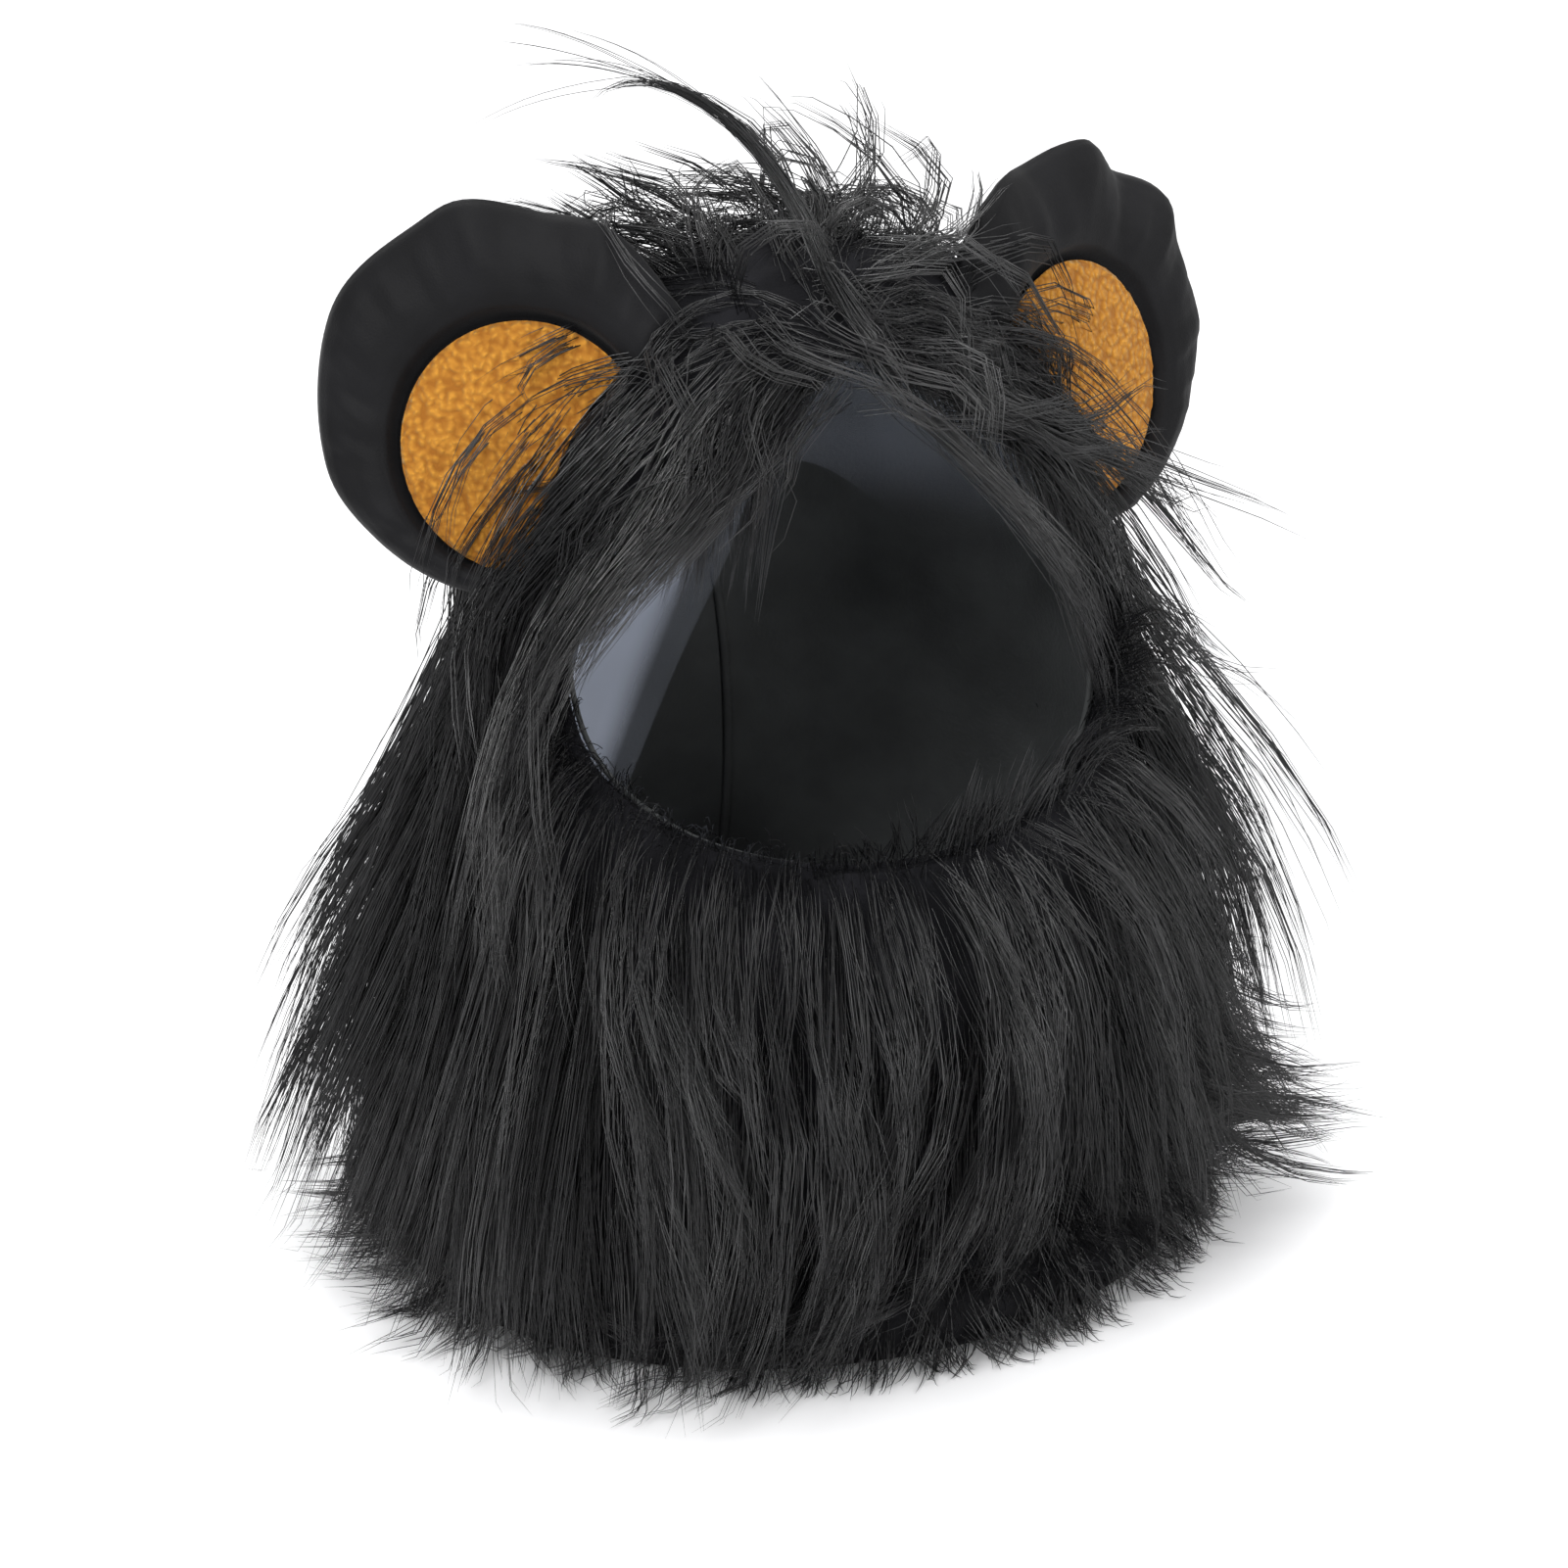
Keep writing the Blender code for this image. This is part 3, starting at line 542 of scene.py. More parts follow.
def film_material(name, colour, alpha):
    """Thin clear sheet: glossy and pale, with soft creases, and with light painted into its haze by place: a
    painted lit patch at the left and a painted highlight along the top edge.
    """
    material, nodes, links, shader = new_material(name)
    where = nodes.new("ShaderNodeTexCoord")
    crease = nodes.new("ShaderNodeTexNoise")
    crease.inputs["Scale"].default_value = 22
    crease.inputs["Detail"].default_value = 1.5
    crease.inputs["Distortion"].default_value = 0.4
    links.new(where.outputs["Object"], crease.inputs["Vector"])
    # the crease noise makes the painted light uneven, with brighter and darker streaks along the creases
    haze = nodes.new("ShaderNodeMapRange")
    haze.inputs["From Min"].default_value = 0.3
    haze.inputs["From Max"].default_value = 0.7
    haze.inputs["To Min"].default_value = 0.45
    haze.inputs["To Max"].default_value = 1.30
    links.new(crease.outputs["Fac"], haze.inputs["Value"])
    # painted light by place: the haze is thickest left of the sheet's window, as a painted lit patch with a
    # dimmer strip beside it, thin over the top, with a painted highlight along the top edge, and none low at
    # the right
    parts = nodes.new("ShaderNodeSeparateXYZ")
    links.new(where.outputs["Object"], parts.inputs["Vector"])
    lean = nodes.new("ShaderNodeMath")
    lean.operation = "MULTIPLY_ADD"
    lean.inputs[1].default_value = -0.43
    links.new(parts.outputs["Z"], lean.inputs[0])
    links.new(parts.outputs["X"], lean.inputs[2])
    spread = (
        ("left", lean.outputs["Value"], -0.070, -0.058, alpha * 2.5, 0.0),
        ("beside", lean.outputs["Value"], -0.056, -0.050, alpha * 0.22, 0.0),
        ("top", parts.outputs["Z"], 0.140, 0.160, 0.0, alpha * 0.32),
        ("painted_highlight", parts.outputs["Z"], 0.186, 0.192, 0.0, alpha * 2.6),
    )
    total = None
    for label, value, start, end, low, high in spread:
        node = nodes.new("ShaderNodeMapRange")
        node.label = label
        node.interpolation_type = "SMOOTHSTEP"
        for socket, number in zip(("From Min", "From Max", "To Min", "To Max"), (start, end, low, high)):
            node.inputs[socket].default_value = number
        links.new(value, node.inputs["Value"])
        if total is not None:
            most = nodes.new("ShaderNodeMath")
            most.operation = "MAXIMUM"
            links.new(total, most.inputs[0])
            links.new(node.outputs["Result"], most.inputs[1])
            total = most.outputs["Value"]
        else:
            total = node.outputs["Result"]
    thick = nodes.new("ShaderNodeMath")
    thick.operation = "MULTIPLY"
    links.new(haze.outputs["Result"], thick.inputs[0])
    links.new(total, thick.inputs[1])
    links.new(thick.outputs["Value"], shader.inputs["Alpha"])
    shader.inputs["Base Color"].default_value = (*colour, 1)
    shader.inputs["Roughness"].default_value = 0.12
    shader.inputs["Specular IOR Level"].default_value = 0.7
    bump(nodes, links, shader, crease.outputs["Fac"], 0.35, 0.004)
    return material


def plain_stage_material(name, colour):
    material, _, _, shader = new_material(name)
    shader.inputs["Base Color"].default_value = (*colour, 1)
    shader.inputs["Roughness"].default_value = 0.6
    shader.inputs["Specular IOR Level"].default_value = 0.2
    return material


# Hair: the strand tree


def named(nodes, name, kind="FLOAT"):
    node = nodes.new("GeometryNodeInputNamedAttribute")
    node.data_type = kind
    node.inputs["Name"].default_value = name
    return node.outputs["Attribute"]


def whole_strand(tree, value, kind):
    """The value that a strand has as a whole, the same at all its points."""
    node = tree.nodes.new("GeometryNodeFieldOnDomain")
    node.domain = "CURVE"
    node.data_type = kind
    tree.links.new(value, node.inputs["Value"])
    return node.outputs["Value"]


def random_of_strand(tree, seed, low, high, vector=False):
    node = tree.nodes.new("FunctionNodeRandomValue")
    node.data_type = "FLOAT_VECTOR" if vector else "FLOAT"
    node.inputs["Seed"].default_value = seed
    shown = [s for s in node.inputs if s.enabled]
    shown[0].default_value = (low,) * 3 if vector else low
    shown[1].default_value = (high,) * 3 if vector else high
    made = next(s for s in node.outputs if s.enabled)
    return whole_strand(tree, made, "FLOAT_VECTOR" if vector else "FLOAT")


def maths(tree, operation, *values, kind="ShaderNodeMath"):
    node = tree.nodes.new(kind)
    node.operation = operation
    for i, value in enumerate(values):
        if isinstance(value, (int, float, tuple)):
            node.inputs[i].default_value = value
        else:
            tree.links.new(value, node.inputs[i])
    return node.outputs[0]


def strand_tree():
    """Turns guide lines into tapered strands: copies, spreads, frizzes and skins them."""
    tree = bpy.data.node_groups.new("hair_strands", "GeometryNodeTree")
    face = tree.interface
    face.new_socket("Guides", in_out="INPUT", socket_type="NodeSocketGeometry")
    sizes = (
        ("Root Spread", 0.0036),
        ("Tip Spread", 0.0008),
        ("Flyaway", 0.008),
        ("Frizz", 0.0008),
        ("Frizz Scale", 45.0),
        ("Thickness", 0.00016),
        ("Shortest", 0.72),
    )
    for label, value in sizes:
        socket = face.new_socket(label, in_out="INPUT", socket_type="NodeSocketFloat")
        socket.default_value = value
    face.new_socket("Material", in_out="INPUT", socket_type="NodeSocketMaterial")
    face.new_socket("Strands", in_out="OUTPUT", socket_type="NodeSocketGeometry")
    nodes, links = tree.nodes, tree.links
    given, out = nodes.new("NodeGroupInput"), nodes.new("NodeGroupOutput")

    lines = nodes.new("GeometryNodeMeshToCurve")
    links.new(given.outputs["Guides"], lines.inputs["Mesh"])
    copies = nodes.new("GeometryNodeDuplicateElements")
    copies.domain = "SPLINE"
    links.new(lines.outputs["Curve"], copies.inputs["Geometry"])
    links.new(whole_strand(tree, named(nodes, "strands", "INT"), "INT"), copies.inputs["Amount"])

    shorter = nodes.new("GeometryNodeTrimCurve")
    shorter.mode = "FACTOR"
    reach = random_of_strand(tree, 3, 0.0, 1.0)
    span = maths(tree, "SUBTRACT", 1.0, given.outputs["Shortest"])
    links.new(maths(tree, "MULTIPLY_ADD", reach, span, given.outputs["Shortest"]), shorter.inputs["End"])
    links.new(copies.outputs["Geometry"], shorter.inputs["Curve"])

    place = nodes.new("GeometryNodeSplineParameter").outputs["Factor"]
    from_guide = named(nodes, "along")
    # each strand's own way off its guide, nearer to it at the tip, so that locks come to points
    way = random_of_strand(tree, 11, -1.0, 1.0, vector=True)
    far = maths(tree, "POWER", random_of_strand(tree, 17, 0.0, 1.0), 9.0)
    spread = nodes.new("ShaderNodeMix")
    spread.data_type = "FLOAT"
    links.new(maths(tree, "POWER", from_guide, 0.8), spread.inputs["Factor"])
    links.new(given.outputs["Root Spread"], spread.inputs["A"])
    links.new(given.outputs["Tip Spread"], spread.inputs["B"])
    stray = maths(tree, "MULTIPLY", maths(tree, "MULTIPLY", far, given.outputs["Flyaway"]), from_guide)
    strayed = maths(tree, "ADD", spread.outputs["Result"], stray)
    apart = maths(tree, "MULTIPLY", strayed, named(nodes, "looseness"))
    shift = maths(tree, "SCALE", way, kind="ShaderNodeVectorMath")
    links.new(apart, shift.node.inputs["Scale"])

    ripple = nodes.new("ShaderNodeTexNoise")
    ripple.inputs["Detail"].default_value = 1.0
    where = nodes.new("GeometryNodeInputPosition")
    own = maths(tree, "SCALE", way, kind="ShaderNodeVectorMath")
    own.node.inputs["Scale"].default_value = 0.02
    place_of_own = maths(tree, "ADD", where.outputs["Position"], own, kind="ShaderNodeVectorMath")
    links.new(place_of_own, ripple.inputs["Vector"])
    links.new(given.outputs["Frizz Scale"], ripple.inputs["Scale"])
    centred = maths(tree, "SUBTRACT", ripple.outputs["Color"], (0.5, 0.5, 0.5), kind="ShaderNodeVectorMath")
    wave = maths(tree, "SCALE", centred, kind="ShaderNodeVectorMath")
    frizz = maths(tree, "MULTIPLY", given.outputs["Frizz"], 4.0)
    links.new(maths(tree, "MULTIPLY", frizz, from_guide), wave.node.inputs["Scale"])

    moved = nodes.new("GeometryNodeSetPosition")
    links.new(shorter.outputs["Curve"], moved.inputs["Geometry"])
    links.new(maths(tree, "ADD", shift, wave, kind="ShaderNodeVectorMath"), moved.inputs["Offset"])

    grounded = nodes.new("GeometryNodeSetPosition")
    parts = nodes.new("ShaderNodeSeparateXYZ")
    links.new(nodes.new("GeometryNodeInputPosition").outputs["Position"], parts.inputs["Vector"])
    level = nodes.new("ShaderNodeCombineXYZ")
    links.new(parts.outputs["X"], level.inputs["X"])
    links.new(parts.outputs["Y"], level.inputs["Y"])
    links.new(maths(tree, "MAXIMUM", parts.outputs["Z"], 0.0006), level.inputs["Z"])
    links.new(level.outputs["Vector"], grounded.inputs["Position"])
    links.new(moved.outputs["Geometry"], grounded.inputs["Geometry"])

    taper = nodes.new("ShaderNodeFloatCurve")
    curve = taper.mapping.curves[0]
    curve.points[0].location = (0.0, 0.8)
    curve.points[1].location = (1.0, 0.12)
    curve.points.new(0.45, 1.0)
    curve.points.new(0.8, 0.72)
    taper.mapping.update()
    links.new(place, taper.inputs["Value"])
    girth = maths(tree, "MULTIPLY", taper.outputs["Value"], random_of_strand(tree, 23, 0.75, 1.25))
    girth = maths(tree, "MULTIPLY", girth, named(nodes, "girth"))

    toned = nodes.new("GeometryNodeStoreNamedAttribute")
    toned.data_type, toned.domain = "FLOAT", "POINT"
    toned.inputs["Name"].default_value = "tone"
    links.new(random_of_strand(tree, 29, 0.0, 1.0), toned.inputs["Value"])
    links.new(grounded.outputs["Geometry"], toned.inputs["Geometry"])

    ring = nodes.new("GeometryNodeCurvePrimitiveCircle")
    ring.inputs["Resolution"].default_value = 3
    links.new(given.outputs["Thickness"], ring.inputs["Radius"])
    skin = nodes.new("GeometryNodeCurveToMesh")
    links.new(toned.outputs["Geometry"], skin.inputs["Curve"])
    links.new(ring.outputs["Curve"], skin.inputs["Profile Curve"])
    links.new(girth, skin.inputs["Scale"])
    skin.inputs["Fill Caps"].default_value = True
    smooth = nodes.new("GeometryNodeSetShadeSmooth")
    links.new(skin.outputs["Mesh"], smooth.inputs["Geometry"])
    whole = nodes.new("GeometryNodeRealizeInstances")
    links.new(smooth.outputs["Geometry"], whole.inputs["Geometry"])
    dressed = nodes.new("GeometryNodeSetMaterial")
    links.new(whole.outputs["Geometry"], dressed.inputs["Geometry"])
    links.new(given.outputs["Material"], dressed.inputs["Material"])
    links.new(dressed.outputs["Geometry"], out.inputs["Strands"])
    return tree


def set_input(modifier, label, value):
    tree = modifier.node_group
    socket = next(s for s in tree.interface.items_tree if s.name == label and s.in_out == "INPUT")
    modifier[socket.identifier] = value


def hair_piece(name, guides, tree, material, **sizes):
    """One piece of hair from guides, each with its points, count of strands, girth and looseness."""
    vertices, edges, along, strands, girth, loose = [], [], [], [], [], []
    for points, count, thick, slack in guides:
        base = len(vertices)
        vertices += [tuple(p) for p in points]
        edges += [(base + i, base + i + 1) for i in range(len(points) - 1)]
        along += [i / (len(points) - 1) for i in range(len(points))]
        strands += [count] * len(points)
        girth += [thick] * len(points)
        loose += [slack] * len(points)
    mesh = bpy.data.meshes.new(name)
    mesh.from_pydata(vertices, edges, [])
    for label, kind, values in (
        ("along", "FLOAT", along),
        ("strands", "INT", strands),
        ("girth", "FLOAT", girth),
        ("looseness", "FLOAT", loose),
    ):
        mesh.attributes.new(label, kind, "POINT").data.foreach_set("value", values)
    thing = bpy.data.objects.new(name, mesh)
    bpy.context.scene.collection.objects.link(thing)
    modifier = thing.modifiers.new("strands", "NODES")
    modifier.node_group = tree
    set_input(modifier, "Material", material)
    for label, value in sizes.items():
        set_input(modifier, label.replace("_", " ").title(), value)
    return applied(thing)


# Hair: where it grows and how it falls

DOWN = Vector((0, 0, -1))
SWIRL = Vector((3.1, 0.7, 5.2))  # sets the small waves apart from the large ones
PARTING = Vector((0.0, -0.036, 0.203))  # where the hair parts, at the top of the face opening

# Where hair stops: angle in degrees from the front, and the height of the lowest tips
TIP_HEIGHTS = (
    (-180, 0.0020),
    (-28, 0.0015),
    (-10, 0.0060),
    (4, 0.0150),
    (25, 0.0185),
    (70, 0.0200),
    (92, 0.0160),
    (120, 0.0040),
    (180, 0.0020),
)

# How far hair may hang over the edge of the face opening: height, at the left, at the right
EDGE_COVER = (
    (0.105, -0.003, 0.003),
    (0.120, -0.007, 0.007),
    (0.145, -0.007, 0.012),
    (0.160, -0.004, 0.014),
    (0.178, 0.004, 0.013),
    (0.200, 0.005, 0.008),
)

# How far the hair reaches from the middle, at rest: soft limit and outer limit
REACH = ((0.103, 0.117), (0.082, 0.0925), (0.245, 0.262))


class Patch(NamedTuple):
    start: float  # degrees round from the front
    end: float
    low: float  # heights of the roots
    high: float
    locks: int
    strands: int
    length: float
    lift: float  # degrees off the cloth at the root
    droop: float
    layer: float  # how far out the top layer lies
    curl: float
    wave: float  # drift that neighbours share
    bow: float  # how far tips turn outwards


PATCHES = {
    "mane_left": Patch(-134, -46, 0.022, 0.150, 360, 12, 0.100, 19, 0.25, 1.00, 0.15, 0.26, 0.02),
    "mane_right": Patch(46, 134, 0.022, 0.150, 320, 12, 0.090, 19, 0.27, 0.90, 0.25, 0.34, 0.05),
    "mane_back": Patch(134, 226, 0.022, 0.150, 270, 12, 0.090, 20, 0.26, 0.80, 0.15, 0.26, 0.00),
    "mane_bib": Patch(-46, 46, 0.022, 0.112, 290, 12, 0.072, 32, 0.25, 0.95, 0.25, 0.44, 0.00),
    "mane_crown": Patch(-180, 180, 0.150, 0.2138, 230, 11, 0.056, 24, 0.24, 0.90, 0.60, 0.46, 0.00),
}


def squeeze(value, soft, hard):
    if abs(value) <= soft:
        return value
    return math.copysign(soft + (hard - soft) * math.tanh((abs(value) - soft) / (hard - soft)), value)


def piece_tree(vertices, faces):
    return BVHTree.FromPolygons([Vector(p) for p in vertices], faces, epsilon=0.0)


def hood_tree():
    """The hood's cloth as a closed surface, for keeping hair outside it."""
    at_angle, at_rise = np.meshgrid(np.linspace(0, 2 * math.pi, 72, endpoint=False), np.linspace(0, 1, 40))
    return piece_tree(cloth_point(at_angle, at_rise).reshape(-1, 3), grid_faces(40, 72, True))


def node_tree(name):
    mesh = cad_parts[name].data
    mesh.calc_loop_triangles()
    return piece_tree([v.co for v in mesh.vertices], [tuple(t.vertices) for t in mesh.loop_triangles])


class Groom:
    """Grows guide lines over the hood, outside its cloth and its ears, and round the face opening."""

    def __init__(self, seed):
        self.draw = random.Random(seed)
        noise.seed_set(seed + 1)
        self.hood = hood_tree()
        self.ears = [node_tree("ear_left"), node_tree("ear_right")]
        slant = np.linalg.norm(np.diff(profile(RISE_TABLE)[:, :2], axis=0), axis=1)
        self.area = np.concatenate(([0], np.cumsum(slant * profile(RISE_TABLE)[1:, 1])))

    def rise_between(self, low, high):
        """A rise between two heights, as likely anywhere on the cloth."""
        near, far = (np.interp(rise_at(z), RISE_TABLE, self.area) for z in (low, high))
        return float(np.interp(self.draw.uniform(near, far), self.area, RISE_TABLE))

    def clear(self, point, keep_off, floor, veil=0.0):
        """The point, moved out of the cloth, the ears, the face opening and the floor."""
        near, normal, _, _ = self.hood.find_nearest(point)
        if normal.dot(near - Vector((0, HOOD_MIDDLE, near.z - 0.01))) < 0:
            normal = -normal
        away = (point - near).dot(normal)
        if away < keep_off:
            point = point + normal * (keep_off - away)
        for ear in self.ears:
            near, normal, _, distance = ear.find_nearest(point)
            away = (point - near).dot(normal)
            if distance < 0.02 and away < 0.0012:
                point = point + normal * (0.0012 - away)
        if FACE_BOTTOM + 0.004 < point.z < FACE_TOP and point.y < HOOD_MIDDLE - 0.015:
            right = point.x > 0
            table = np.array(EDGE_COVER)
            cover = veil + float(np.interp(point.z, table[:, 0], table[:, 2 if right else 1]))
            edge = face_half_width(point.z) - cover
            if abs(point.x) < edge:
                point.x += ((edge if right else -edge) - point.x) * (0.75 if right else 0.95)
        sides = [squeeze(value, *limits) for value, limits in zip(point, REACH)]
        return Vector((sides[0], sides[1], max(sides[2], floor)))

    def grow(
        self,
        root,
        first,
        length,
        steps,
        droop=0.2,
        layer=0.5,
        floor=0.001,
        curl=0.1,
        wave=0.1,
        bow=None,
        veil=0.0,
    ):
        """A guide line from the root. Droop bends it down, and veil lets it hang over the opening."""
        draw = self.draw
        points = [Vector(root)]
        way = Vector(first).normalized()
        stride = length / steps
        swing, turns = draw.uniform(0, 2 * math.pi), draw.uniform(0.5, 1.3)
        sideways = Vector((-way.y, way.x, 0.3)).normalized()
        for i in range(1, steps + 1):
            share = i / steps
            height = max(0.0, min(1.0, points[-1].z / CROWN_SEAM))
            room = (0.005 + (1 - height) * 0.019) * layer
            way = way + DOWN * droop + noise.noise_vector(points[-1] * 17) * wave
            way = way + noise.noise_vector(points[-1] * 48 + SWIRL) * wave * 0.4
            if bow:
                way = way + bow * share
            way.normalize()
            wobble = sideways * math.sin(swing + turns * 2 * math.pi * share) * curl * share * stride
            keep_off = 0.0012 + room * min(1.0, share * 1.6)
            kept = self.clear(points[-1] + way * stride + wobble, keep_off, floor, veil)
            way = ((kept - points[-1]).normalized() + way * 0.5).normalized()
            points.append(kept)
        return points

    def strays(self, guides, count, drift):
        """Single hairs that leave their locks."""
        draw = self.draw
        loose = []
        for _ in range(count):
            points = [p.copy() for p in draw.choice(guides)[0]]
            away = Vector((draw.gauss(0, 1), draw.gauss(0, 1), draw.gauss(0, 0.7))) * drift
            for i, point in enumerate(points):
                moved = point + away * (i / len(points)) ** 1.5
                sides = [squeeze(value, *limits) for value, limits in zip(moved, REACH)]
                points[i] = Vector((sides[0], sides[1], max(sides[2], 0.001)))
            loose.append((points, 1, 0.7, 1.4))
        return loose


def lowest_tip(angle):
    table = np.array(TIP_HEIGHTS)
    turn = (math.degrees(angle) + 180) % 360 - 180
    return float(np.interp(turn, table[:, 0], table[:, 1]))


def flow_at(point, normal):
    """Which way the hair is combed: away from the parting on the crown, and down further from it."""
    away = point - PARTING
    down = max(0.0, min(1.0, (away.length - 0.020) / 0.045)) if point.z > CROWN_SEAM * 0.8 else 1.0
    way = away.normalized() * (1 - down) + DOWN * down
    way -= normal * way.dot(normal)
    return way.normalized() if way.length > 1e-6 else Vector((0, 1, 0))


def patch_guides(groom, patch):
    draw = groom.draw
    guides = []
    while len(guides) < patch.locks:
        angle = math.radians(draw.uniform(patch.start, patch.end))
        rise = groom.rise_between(patch.low, patch.high)
        root = Vector(off_cloth(angle, rise, 0.0010))
        if in_face(root, 0.0005):
            continue
        normal = Vector(cloth_normal(angle, rise))
        way = flow_at(root, normal)
        front = max(0.0, min(1.0, (-0.004 - root.y) / 0.020)) if root.z > CROWN_SEAM else 0.0
        front *= max(0.0, min(1.0, (abs(root.x) - 0.006) / 0.016))
        top = max(0.0, min(1.0, (root.z - 0.188) / 0.018)) * (1 - front)
        raised = math.radians(patch.lift * draw.uniform(0.7, 1.3) * (1 - 0.35 * front - 0.20 * top))
        first = way * math.cos(raised) + normal * math.sin(raised)
        first += Vector((draw.gauss(0, 0.07), draw.gauss(0, 0.07), draw.gauss(0, 0.05)))
        floor = lowest_tip(angle)
        length = patch.length * (1 + 0.55 * front) * draw.uniform(0.72, 1.15)
        length = min(length, max(root.z - floor, 0.006) * 1.12 + 0.016)
        points = groom.grow(
            root,
            first,
            length,
            5 if patch.curl < 0.5 else 6,
            droop=patch.droop,
            layer=patch.layer * draw.random() ** 0.7,
            floor=floor + 0.014 * draw.random() ** 2,
            curl=patch.curl * (1 - 0.7 * front),
            wave=patch.wave,
            bow=Vector((normal.x, normal.y, 0)) * patch.bow * draw.uniform(0.2, 1.8),
        )
        guides.append((points, patch.strands + draw.randint(-4, 4), 1.0, draw.uniform(0.7, 1.25)))
    return guides + groom.strays(guides, patch.locks // 6, 0.006)


def whorl_guides(groom, count):
    """Hair that springs from the parting: up and back in the middle, and towards the ears beside it."""
    draw = groom.draw
    guides = []
    for k in range(count):
        turn = math.radians(draw.uniform(-108, 108))
        reach = 0.002 + 0.017 * draw.random() ** 0.7
        spot = PARTING + Vector((math.sin(turn), math.cos(turn), 0)) * reach
        near, normal, _, _ = groom.hood.find_nearest(spot)
        if normal.z < 0:
            normal = -normal
        root = near + normal * 0.001
        if in_face(root, 0.0003):
            continue
        beside = min(1.0, abs(math.degrees(turn)) / 70)
        way = Vector((math.sin(turn), math.cos(turn) * (1 - 0.3 * beside), -0.25 * beside))
        way = (way - normal * way.dot(normal)).normalized()
        first = way + normal * draw.uniform(0.10, 0.55) * (1 - 0.35 * beside)
        length = draw.uniform(0.026, 0.040) + 0.048 * beside * draw.random()
        points = groom.grow(
            root, first, length, 6, droop=0.26, layer=draw.random(), floor=0.1,
            curl=0.7 * (1 - 0.7 * beside), wave=0.45,
        )
        guides.append((points, 10, 0.95, draw.uniform(0.6, 1.0)))
    return guides


def crest_guides(groom, count):
    """Short tousled hair that curls up over the top of the hood."""
    draw = groom.draw
    guides = []
    while len(guides) < count:
        angle = draw.uniform(-math.pi, math.pi)
        rise = groom.rise_between(0.180, 0.2139)
        root = Vector(off_cloth(angle, rise, 0.001))
        if root.y < -0.034 or abs(root.x) > 0.040:
            continue
        normal = Vector(cloth_normal(angle, rise))
        away = root - PARTING
        turn = math.atan2(away.x, away.y) + draw.gauss(0, 0.9)
        way = Vector((math.sin(turn), math.cos(turn), 0))
        way = (way - normal * way.dot(normal)).normalized()
        high = max(0.0, min(1.0, (root.z - 0.180) / 0.025))
        raised = math.radians(draw.uniform(28, 55 + 30 * high))
        first = way * math.cos(raised) + normal * math.sin(raised)
        points = groom.grow(
            root, first, draw.uniform(0.027, 0.043), 6, droop=draw.uniform(0.18, 0.46), layer=draw.random(),
            floor=0.1, curl=1.3, wave=0.8,
        )
        guides.append((points, 11, 1.0, draw.uniform(0.6, 1.1)))
    return guides


def curtain_guides(groom, count):
    """Long hair from beside the parting that falls across the inner ears' lower corners."""
    draw = groom.draw
    guides = []
    for _ in range(count):
        side = -1 if draw.random() < 0.5 else 1
        angle = side * math.radians(draw.uniform(14, 66))
        rise = float(rise_at(draw.uniform(0.168, 0.207)))
        root = Vector(off_cloth(angle, rise, 0.001))
        if in_face(root, 0.0005):
            continue
        normal = Vector(cloth_normal(angle, rise))
        out = 0.68 if side < 0 else 0.76
        first = Vector((side * out, 0.05, -0.70 * draw.uniform(0.5, 1.2))) + normal * draw.uniform(0.2, 0.5)
        points = groom.grow(
            root, first, draw.uniform(0.064, 0.094), 7, droop=draw.uniform(0.20, 0.34), layer=draw.random(),
            floor=0.03, curl=0.2, wave=0.24,
        )
        guides.append((points, 10, 1.0, draw.uniform(0.7, 1.2)))
    return guides


def edge_roots(count, low):
    """Roots along the bottom of the face opening or along its other edges."""
    low_below = (FACE_BOTTOM + FACE_TOP) / 2 - 0.022
    for x, z in face_outline(0.0003, count):
        if (z < low_below) != low:
            continue
        rise = float(rise_at(z))
        angle = math.asin(max(-0.999, min(0.999, x / float(profile(rise)[1]))))
        yield Vector(off_cloth(angle, rise, 0.0006)), Vector(cloth_normal(angle, rise)), x, z


def edge_sway(draw):
    """A small random turn of a lock at the edge."""
    return Vector((draw.gauss(0, 0.10), draw.gauss(0, 0.06), draw.gauss(0, 0.08)))


def rim_guides(groom, count):
    """Hair under the face opening: locks that fall over the bib, and tufts that stand up."""
    draw = groom.draw
    guides = []
    middle = (FACE_BOTTOM + FACE_TOP) / 2
    for root, normal, x, z in edge_roots(count, True):
        away = Vector((x, 0, (z - middle) * 1.2)).normalized()
        right = 1.0 if x > 0 else 0.0
        up = draw.random() < 0.55 + 0.20 * right
        first = normal * 0.75 + away * 0.35 + Vector((0.25 * draw.random(), 0, 0.05))
        length = draw.uniform(0.034, 0.058)
        droop, veil = 0.34, 0.0
        if up:
            first = normal * 0.35 + Vector((draw.uniform(-0.35, 0.35), 0, 1.2))
            length = draw.uniform(0.009, 0.015) + 0.013 * right * draw.random()
            droop, veil = 0.27, 0.1
        first += edge_sway(draw)
        layer = 0.35 * draw.random()
        points = groom.grow(
            root, first, length, 5, droop=droop, layer=layer, floor=0.02, curl=0.25, wave=0.25, veil=veil
        )
        guides.append((points, 9, 0.9, 0.9))
    return guides


def brow_guides(groom, count):
    """Hair over and beside the face opening, which hangs along its edge."""
    draw = groom.draw
    guides = []
    for root, normal, x, _ in edge_roots(count, False):
        first = Vector((0.10 if x > 0 else -0.45, 0, -1.0)) + normal * 0.45
        first += Vector((-0.30 if x > 0 else 0.0, 0, 0))
        length = draw.uniform(0.050, 0.085)
        first += edge_sway(draw)
        layer = 0.35 * draw.random()
        points = groom.grow(root, first, length, 5, droop=0.16, layer=layer, floor=0.02, curl=0.25, wave=0.25)
        guides.append((points, 9, 0.9, 0.9))
    return guides


